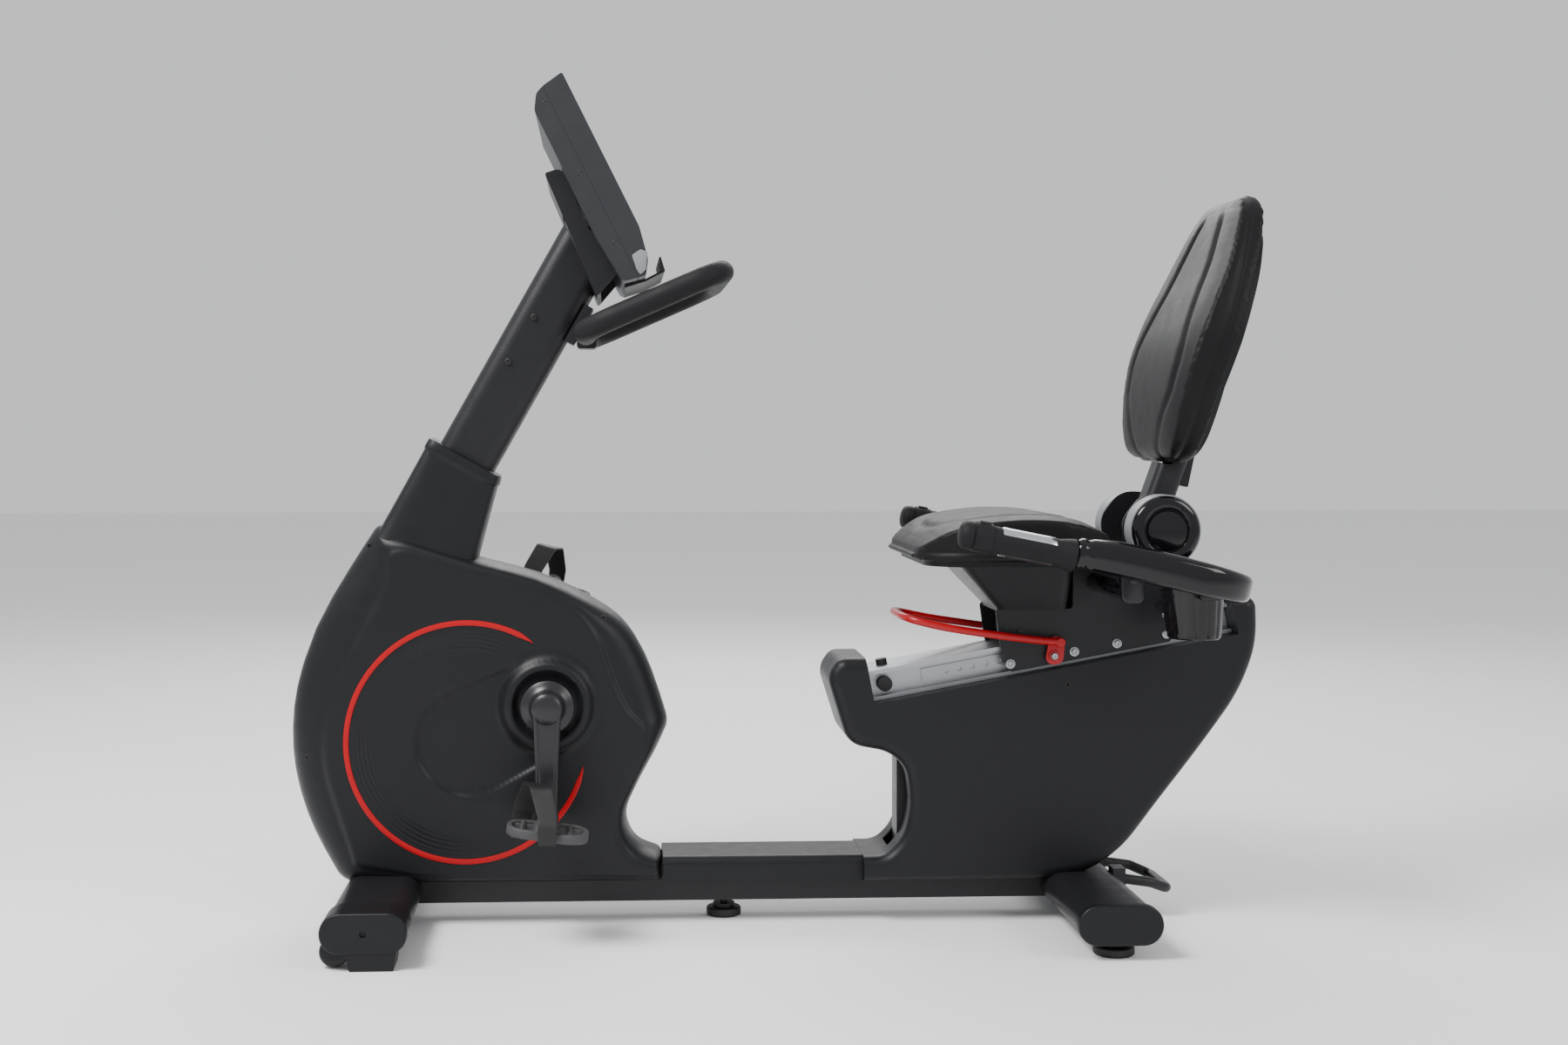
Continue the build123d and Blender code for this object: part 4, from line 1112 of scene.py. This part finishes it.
hubDark, hubReflection = makeHubCovers()
finishPiece(hubDark, "reclineCovers", "seat", ["recline_covers"], "glossBlack")
# the pale rims carry painted reflection, not a grey part of their own
finishPiece(hubReflection, "reclineRimReflections", "seat", [], "greyTrimAndPaintedReflection")
print("cup and recline covers made")

# cushions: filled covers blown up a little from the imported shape, then seamed

cushions = dict(
    seat=dict(name="seatPad", node="seat_cushion", body="seat", voxel=0.005, cap=0.011, under=(0, 0, -1),
              fill=0.75, edge=dict(rise=0.0135, sway=0.004, turns=9, depth=0.003, width=0.004),
              lip=dict(start=0.262, run=0.07, drop=0.010, floor=0.5813),
              panel=dict(middle=0.362, half=(0.118, 0.142), power=2.6, depth=0.004, width=0.009)),
    back=dict(name="backPad", node="backrest_cushion", body="backrest", voxel=0.0052, cap=0.012,
              under=(0.95, 0, -0.31), fill=0.7,
              channel=dict(depth=0.0065, width=0.0105, end=1.146, fade=0.03, faint=0.35, full=(0.74, 0.2)),
              # half width of the channels at heights, both in mm
              line=[(735, 52), (760, 64), (810, 95), (845, 120), (890, 127), (920, 124), (970, 104),
                    (1010, 90), (1056, 79), (1112, 56), (1141, 40), (1150, 34)],
              # rear face of the pad at heights, and how far in front of it the welt runs, all in metres
              welt=dict(high=[0.728, 0.78, 0.85, 0.92, 0.99, 1.06, 1.11, 1.15], inset=0.024,
                        rear=[0.650, 0.662, 0.676, 0.700, 0.722, 0.744, 0.762, 0.770],
                        depth=0.0026, width=0.0045)),
    shared=dict(shrink=0.985, pressure=4.0, mass=0.3, quality=5, frames=20, rounds=60, keep=0.3,
                quickShare=0.4, slot="upholstery"))


def evenOut(piece, shift):
    # averages a movement over each point's neighbours, so a firm moulded pad keeps no creases
    c = cushions["shared"]
    ends = np.empty(len(piece.data.edges) * 2, dtype=np.int32)
    piece.data.edges.foreach_get("vertices", ends)
    ends = ends.reshape(-1, 2)
    first, second = np.concatenate([ends, ends[:, ::-1]]).T
    count = np.bincount(first, minlength=len(shift))[:, None]
    for _ in range(c["rounds"]):
        total = np.stack([np.bincount(first, weights=shift[second, k], minlength=len(shift))
                          for k in range(3)], axis=1)
        shift = c["keep"] * shift + (1 - c["keep"]) * total / count
    return shift


def puffOut(piece, start, normals, cap):
    # how far inner pressure pushes each point outwards, no more than the cap
    c = cushions["shared"]
    cloth = piece.modifiers.new("cloth", "CLOTH")
    cloth.settings.quality = c["quality"]
    cloth.settings.mass = c["mass"]
    cloth.settings.use_pressure = True
    cloth.settings.uniform_pressure_force = c["pressure"]
    cloth.settings.effector_weights.gravity = 0
    cloth.point_cache.frame_start = 1
    cloth.point_cache.frame_end = c["frames"]
    for step in range(1, c["frames"] + 1):
        scene.frame_set(step)
    applyModifiers(piece)
    scene.frame_set(1)
    shift = getPoints(piece) - start
    size = np.linalg.norm(shift, axis=1)
    shift *= np.minimum(1, cap / np.maximum(size, 1e-9))[:, None]
    return normals * np.maximum((shift * normals).sum(axis=1), 0)[:, None]


def fillCushion(pad):
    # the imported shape, shrunk a little, remeshed evenly and puffed out except where it rests
    c = cushions["shared"]
    clearPick()
    piece = copyPiece(nodes[pad["node"]], pad["name"])
    piece.parent = None
    piece.matrix_world = Matrix.Identity(4)
    piece.hide_render = piece.hide_viewport = False
    tidyMesh(piece, 0.00005)
    points = getPoints(piece)
    middle = (points.max(axis=0) + points.min(axis=0)) / 2
    setPoints(piece, middle + (points - middle) * c["shrink"])
    remesh = piece.modifiers.new("even", "REMESH")
    remesh.mode = "VOXEL"
    remesh.voxel_size = pad["voxel"]
    applyModifiers(piece)
    start, normals = getPoints(piece), getNormals(piece)
    shift = puffOut(piece, start, normals, pad["cap"])
    under = np.array(pad["under"]) / np.linalg.norm(pad["under"])
    hold = (1 - ease((normals @ under - 0.2) / 0.5))[:, None]
    setPoints(piece, start + evenOut(piece, shift * hold) * hold)
    finer = piece.modifiers.new("finer", "SUBSURF")
    finer.levels = finer.render_levels = 1
    applyModifiers(piece)
    return piece


def pressAlong(piece, gapOf, seam, facing=None):
    # sinks the surface along a line, as a sewn channel does
    points, normals = getPoints(piece), getNormals(piece)
    gap, share = gapOf(points)
    turned = 1 if facing is None else ease((normals @ np.array(facing) - 0.1) / 0.3)
    sink = seam["depth"] * np.exp(-(gap / seam["width"]) ** 2) * share * turned
    setPoints(piece, points - normals * sink[:, None])


def makeSeatPad():
    c = cushions["seat"]
    pad = fillCushion(c)
    low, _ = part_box(c["node"])
    lip, edge, panel = c["lip"], c["edge"], c["panel"]
    points = getPoints(pad)
    points[:, 2] -= lip["drop"] * ease((lip["start"] - points[:, 0]) / lip["run"])
    points[:, 2] = np.maximum(points[:, 2], lip["floor"])
    setPoints(pad, points)

    def edgeGap(points):
        wave = edge["sway"] * np.sin((points[:, 0] - low[0]) * edge["turns"])
        return np.abs(points[:, 2] - (low[2] + edge["rise"] + wave)), 1

    def panelGap(points):
        # a seam set in from the edge all round
        x = np.abs((points[:, 0] - panel["middle"]) / panel["half"][0])
        y = np.abs(points[:, 1] / panel["half"][1])
        r = (x ** panel["power"] + y ** panel["power"]) ** (1 / panel["power"])
        return np.abs(r - 1) * 0.125, 1

    pressAlong(pad, edgeGap, edge)
    pressAlong(pad, panelGap, panel, (0, 0, 1))
    return pad


def makeBackPad():
    c = cushions["back"]
    pad = fillCushion(c)
    channel, welt = c["channel"], c["welt"]
    heights, halves = np.array(c["line"]).T / 1000

    def channelGap(points):
        high = points[:, 2]
        top = ease((channel["end"] - high) / channel["fade"])
        start, run = channel["full"]
        share = top * (channel["faint"] + (1 - channel["faint"]) * ease((high - start) / run))
        return np.abs(np.abs(points[:, 1]) - np.interp(high, heights, halves)), share

    def weltGap(points):
        rear = np.interp(points[:, 2], welt["high"], welt["rear"])
        return np.abs(points[:, 0] - (rear - welt["inset"])), 1

    pressAlong(pad, channelGap, channel, (-1, 0, 0))
    pressAlong(pad, weltGap, welt)
    return pad


def makeCushions():
    made = [(makeSeatPad(), cushions["seat"]), (makeBackPad(), cushions["back"])]
    for pad, c in made:
        smooth(pad, 60)
        finishPiece(pad, c["name"], c["body"], [c["node"]], "hideBlack")


makeCushions()
print("cushions filled")

# pulse contacts: curved plates let into the grips

contact = dict(start=62, length=82, inner=20.4, outer=21.7, spans=[(-32, 62), (148, 214)], around=20,
               rows=10, margin=0.1)


def makeContact(side, low, high):
    # out along the outer face from low to high degrees, then back along the inner face
    c = contact
    run = math.hypot(1, bow["slope"])
    half = c["around"] / 2 - 1

    def place(u, v):
        k = u * c["around"]
        share = np.where(k <= half, k / half, np.where(k < half + 1, 1, (2 * half + 1 - k) / half))
        turn = np.radians(low + (high - low) * np.clip(share, 0, 1))
        r = np.where((k <= half) | (k >= c["around"]), c["outer"], c["inner"])
        r = np.where((v < c["margin"] / 2) | (v > 1 - c["margin"] / 2), c["inner"] + 0.2, r)
        at = c["start"] + c["length"] * np.clip(v * (1 + 2 * c["margin"]) - c["margin"], 0, 1)
        x = grip["start"] + at / run - r * np.cos(turn) * bow["slope"] / run
        y = side * (grip["side"] + r * np.sin(turn))
        z = bowZ(grip["start"] + at / run) + r * np.cos(turn) / run
        return np.stack([x, y, z], axis=1) / 1000

    return makeGrid("contact", c["rows"], c["around"], place)


pulsePlates = joinPieces([makeContact(side, *span) for side in (-1, 1) for span in contact["spans"]])
tidyMesh(pulsePlates)
smooth(pulsePlates, 40)
finishPiece(pulsePlates, "pulsePlates", "seat", ["pulse_sensors"], "contactSteel")

# carriage bolts: hex heads on washers

bolt = dict(along=(225, 330, 400, 482), down=-28, face=66,
            washer=[(0, 0), (7.2, 0), (7.6, 0.5), (7.6, 1.2), (7, 1.5), (0, 1.5)],
            head=[(0, 1.4), (5.6, 1.4), (5.6, 4.2), (4.8, 5), (2.6, 5), (2.5, 3.2), (0, 3.2)])


rail = dict(start=(146, 397), climb=math.radians(10.5))


def railSpot(along, up):
    x, z = rail["start"]
    run, rise = math.cos(rail["climb"]), math.sin(rail["climb"])
    return x + along * run - up * rise, z + along * rise + up * run


def makeBolts():
    made = []
    for along in bolt["along"]:
        x, z = railSpot(along, bolt["down"])
        at = (x / 1000, bolt["face"] / 1000, z / 1000)
        made += turnedPair("washer", bolt["washer"], at, 28) + turnedPair("head", bolt["head"], at, 6)
    return joinPieces(made, 30)


finishPiece(makeBolts(), "carriageBolts", "seat", ["carriage_bolts"], "boltSteel")
print("contacts and bolts made")

# lever: one bent rod on two rounded ears

lever = dict(pivot=(440, 424), rod=6.2, ear=[(425, 410, 13), (455, 410, 13), (459, 452, 13), (434, 458, 13)],
             path=[(452, 80, 446), (400, 84, 451), (328, 86, 461), (268, 84, 470), (222, 76, 480),
                   (204, 56, 485), (199, 25, 486)],
             earFaces=(71.5, 76.5), knuckleAt=(449, 446),
             collar=[(0, 76), (9, 76), (9.6, 77), (9, 79), (0, 79.4)],
             shaft=[(0, 62), (6, 62), (6, 78), (0, 78)],
             knuckle=[(0, 73), (7.4, 73), (8, 75), (8, 85), (6.8, 87), (0, 87.4)],
             pin=[(0, 79.2), (6.4, 79.2), (6.4, 82), (5.4, 83.4), (2.4, 83.4), (2.3, 81.8), (0, 81.8)])


def makeLever():
    half = np.array([(x, -y, z) for x, y, z in lever["path"]], float)
    whole = np.concatenate([half, (half * np.array([1, -1, 1]))[::-1]])
    clearPick()
    curve = bpy.data.curves.new("leverRod", "CURVE")
    curve.dimensions = "3D"
    curve.bevel_depth = lever["rod"] / 1000
    curve.bevel_resolution = 6
    curve.resolution_u = 10
    curve.use_fill_caps = True
    spline = curve.splines.new("NURBS")
    spline.points.add(len(whole) - 1)
    for point, at in zip(spline.points, whole):
        point.co = (*(at / 1000), 1)
    spline.order_u = 3
    spline.use_endpoint_u = True
    rod = bpy.data.objects.new("leverRod", curve)
    scene.collection.objects.link(rod)
    useOnly(rod)
    bpy.ops.object.convert(target="MESH")
    rod = bpy.context.object
    tidyMesh(rod)
    parts = [rod] + platePair("ear", roundCorners(lever["ear"], 13), lever["earFaces"], 0.0012, 3)
    for label, place, steps in (("collar", "pivot", 32), ("shaft", "pivot", 24),
                                ("knuckle", "knuckleAt", 28)):
        x, z = lever[place]
        parts += turnedPair(label, lever[label], (x / 1000, 0, z / 1000), steps)
    return joinPieces(parts, 40)


finishPiece(makeLever(), "liftLever", "lever", ["adjust_lever"], "leverRed")
pivotX, pivotZ = lever["pivot"]
leverPins = joinPieces(turnedPair("pin", lever["pin"], (pivotX / 1000, 0, pivotZ / 1000), 6), 30)
finishPiece(leverPins, "leverPins", "lever", [], "boltSteel")
print("lever made")

# mast boot: a tapering sleeve with a rolled collar

boot = dict(low=(-559.5, 588), high=(-497, 741), lowHalf=(83, 56), highHalf=(63, 42), square=5.5,
            around=96, lean=((0.361, 0.933), (0.489, 0.872)),
            shares=[0, 0.02, 0.1, 0.3, 0.5, 0.7, 0.84, 0.885, 0.9, 0.915, 0.95, 0.975, 0.99, 1.0],
            lip=[(0, 0.5), (0.1, 0), (0.885, 0), (0.9, 1.8), (0.915, 2.2), (0.95, 2.2), (0.99, 1.4),
                 (1, -0.6)])


def makeBoot():
    b = boot
    low, high = np.array(b["low"], float), np.array(b["high"], float)
    lowTilt, highTilt = [math.atan2(*lean) for lean in b["lean"]]
    rings = []
    for s in b["shares"]:
        x, z = low + (high - low) * s
        tilt = lowTilt + (highTilt - lowTilt) * s
        grow = between(s, b["lip"])
        half = [first + (last - first) * s ** 0.9 + grow for first, last in zip(b["lowHalf"], b["highHalf"])]
        along, across = oval(*half, b["square"], b["around"]).T
        ring = np.stack([x + along * math.cos(tilt), across, z - along * math.sin(tilt)], axis=1)
        rings.append(ring / 1000)
    sleeve = ringGrid("sleeve", closeEnds(rings[::-1]))
    smooth(sleeve, 40)
    return sleeve


finishPiece(makeBoot(), "mastSleeve", "frame", ["mast_boot"], "coverBlack")

# console trim: keys, corner pieces and screws

console = dict(top=(-339, 1328), down=(0.449, -0.894), out=(0.894, 0.449), half=175,
               keys=[(-118, 44, 15, "keyGrey"), (-76, 30, 13, "keyGrey"), (-38, 30, 13, "keyGrey"),
                     (0, 38, 17, "keyRed"), (38, 30, 13, "keyGrey"), (76, 30, 13, "keyGrey"),
                     (118, 44, 15, "keyGrey")],
               small=[-100, -60, -20, 20, 60, 100], smallSize=(22, 9), keysDown=212, smallDown=242,
               keyRings=[(0, -1.0), (0, 0.1), (-0.5, 0.75), (-1.3, 1.0), (-3, 0.9)], keyAround=28,
               dimples=[(31, -44), (150, -44), (268, -44)], studs=[(-387, 964), (-428, 893)],
               dimple=[(0, -1.4), (1.8, -1.4), (2.4, -0.2), (3.4, 0.5), (4, 0.2), (4, -3), (0, -3)],
               stud=[(0, 0), (6, 0), (5.4, 2.6), (3, 3.4), (2.6, 2.2), (0, 2.2)], studSide=30,
               trim=[(294, -14), (302, -6), (325, -20), (329, -32), (318, -33), (296, -30)],
               trimFaces=(173.5, 176.2))


def facePlace(down, out, y):
    # a place in metres, from mm down the face, out of it and across
    x, z = [top + down * a + out * b for top, a, b in zip(console["top"], console["down"], console["out"])]
    return x / 1000, y / 1000, z / 1000


def makeKey(down, y, wide, high):
    # a soft pad that stands up from the face
    outer = oval(wide / 2, high / 2, 5, console["keyAround"])
    rings = [[facePlace(down - b * (1 + 2 * grow / high), lift, y + a * (1 + 2 * grow / wide))
              for a, b in outer] for grow, lift in console["keyRings"]]
    return ringGrid("key", closeEnds(rings))


def makeConsoleParts():
    c = console
    groups = {"keyGrey": [], "keyRed": [], "keyPale": []}
    for y, wide, high, finish in c["keys"]:
        groups[finish].append(makeKey(c["keysDown"], y, wide, high))
    for y in c["small"]:
        groups["keyPale"].append(makeKey(c["smallDown"], y, *c["smallSize"]))
    for finish, made in groups.items():
        finishPiece(joinPieces(made, 40), "consoleKeys_" + finish, "frame", [], finish)
    made = []
    for down, out in c["dimples"]:
        made += turnedPair("dimple", c["dimple"], facePlace(down, out, c["half"]), 20)
    for x, z in c["studs"]:
        made += turnedPair("stud", c["stud"], (x / 1000, c["studSide"] / 1000, z / 1000), 24)
    finishPiece(joinPieces(made, 40), "consoleScrews", "frame", [], "rubberBlack")
    places = [facePlace(down, out, 0) for down, out in c["trim"]]
    line = roundCorners([(x * 1000, z * 1000) for x, _, z in places], 3)
    corners = joinPieces(platePair("trim", line, c["trimFaces"], 0.0007, 2), 40)
    finishPiece(corners, "consoleCorners", "frame", [], "greyTrimAndPaintedReflection")


makeConsoleParts()
print("boot and console parts made")
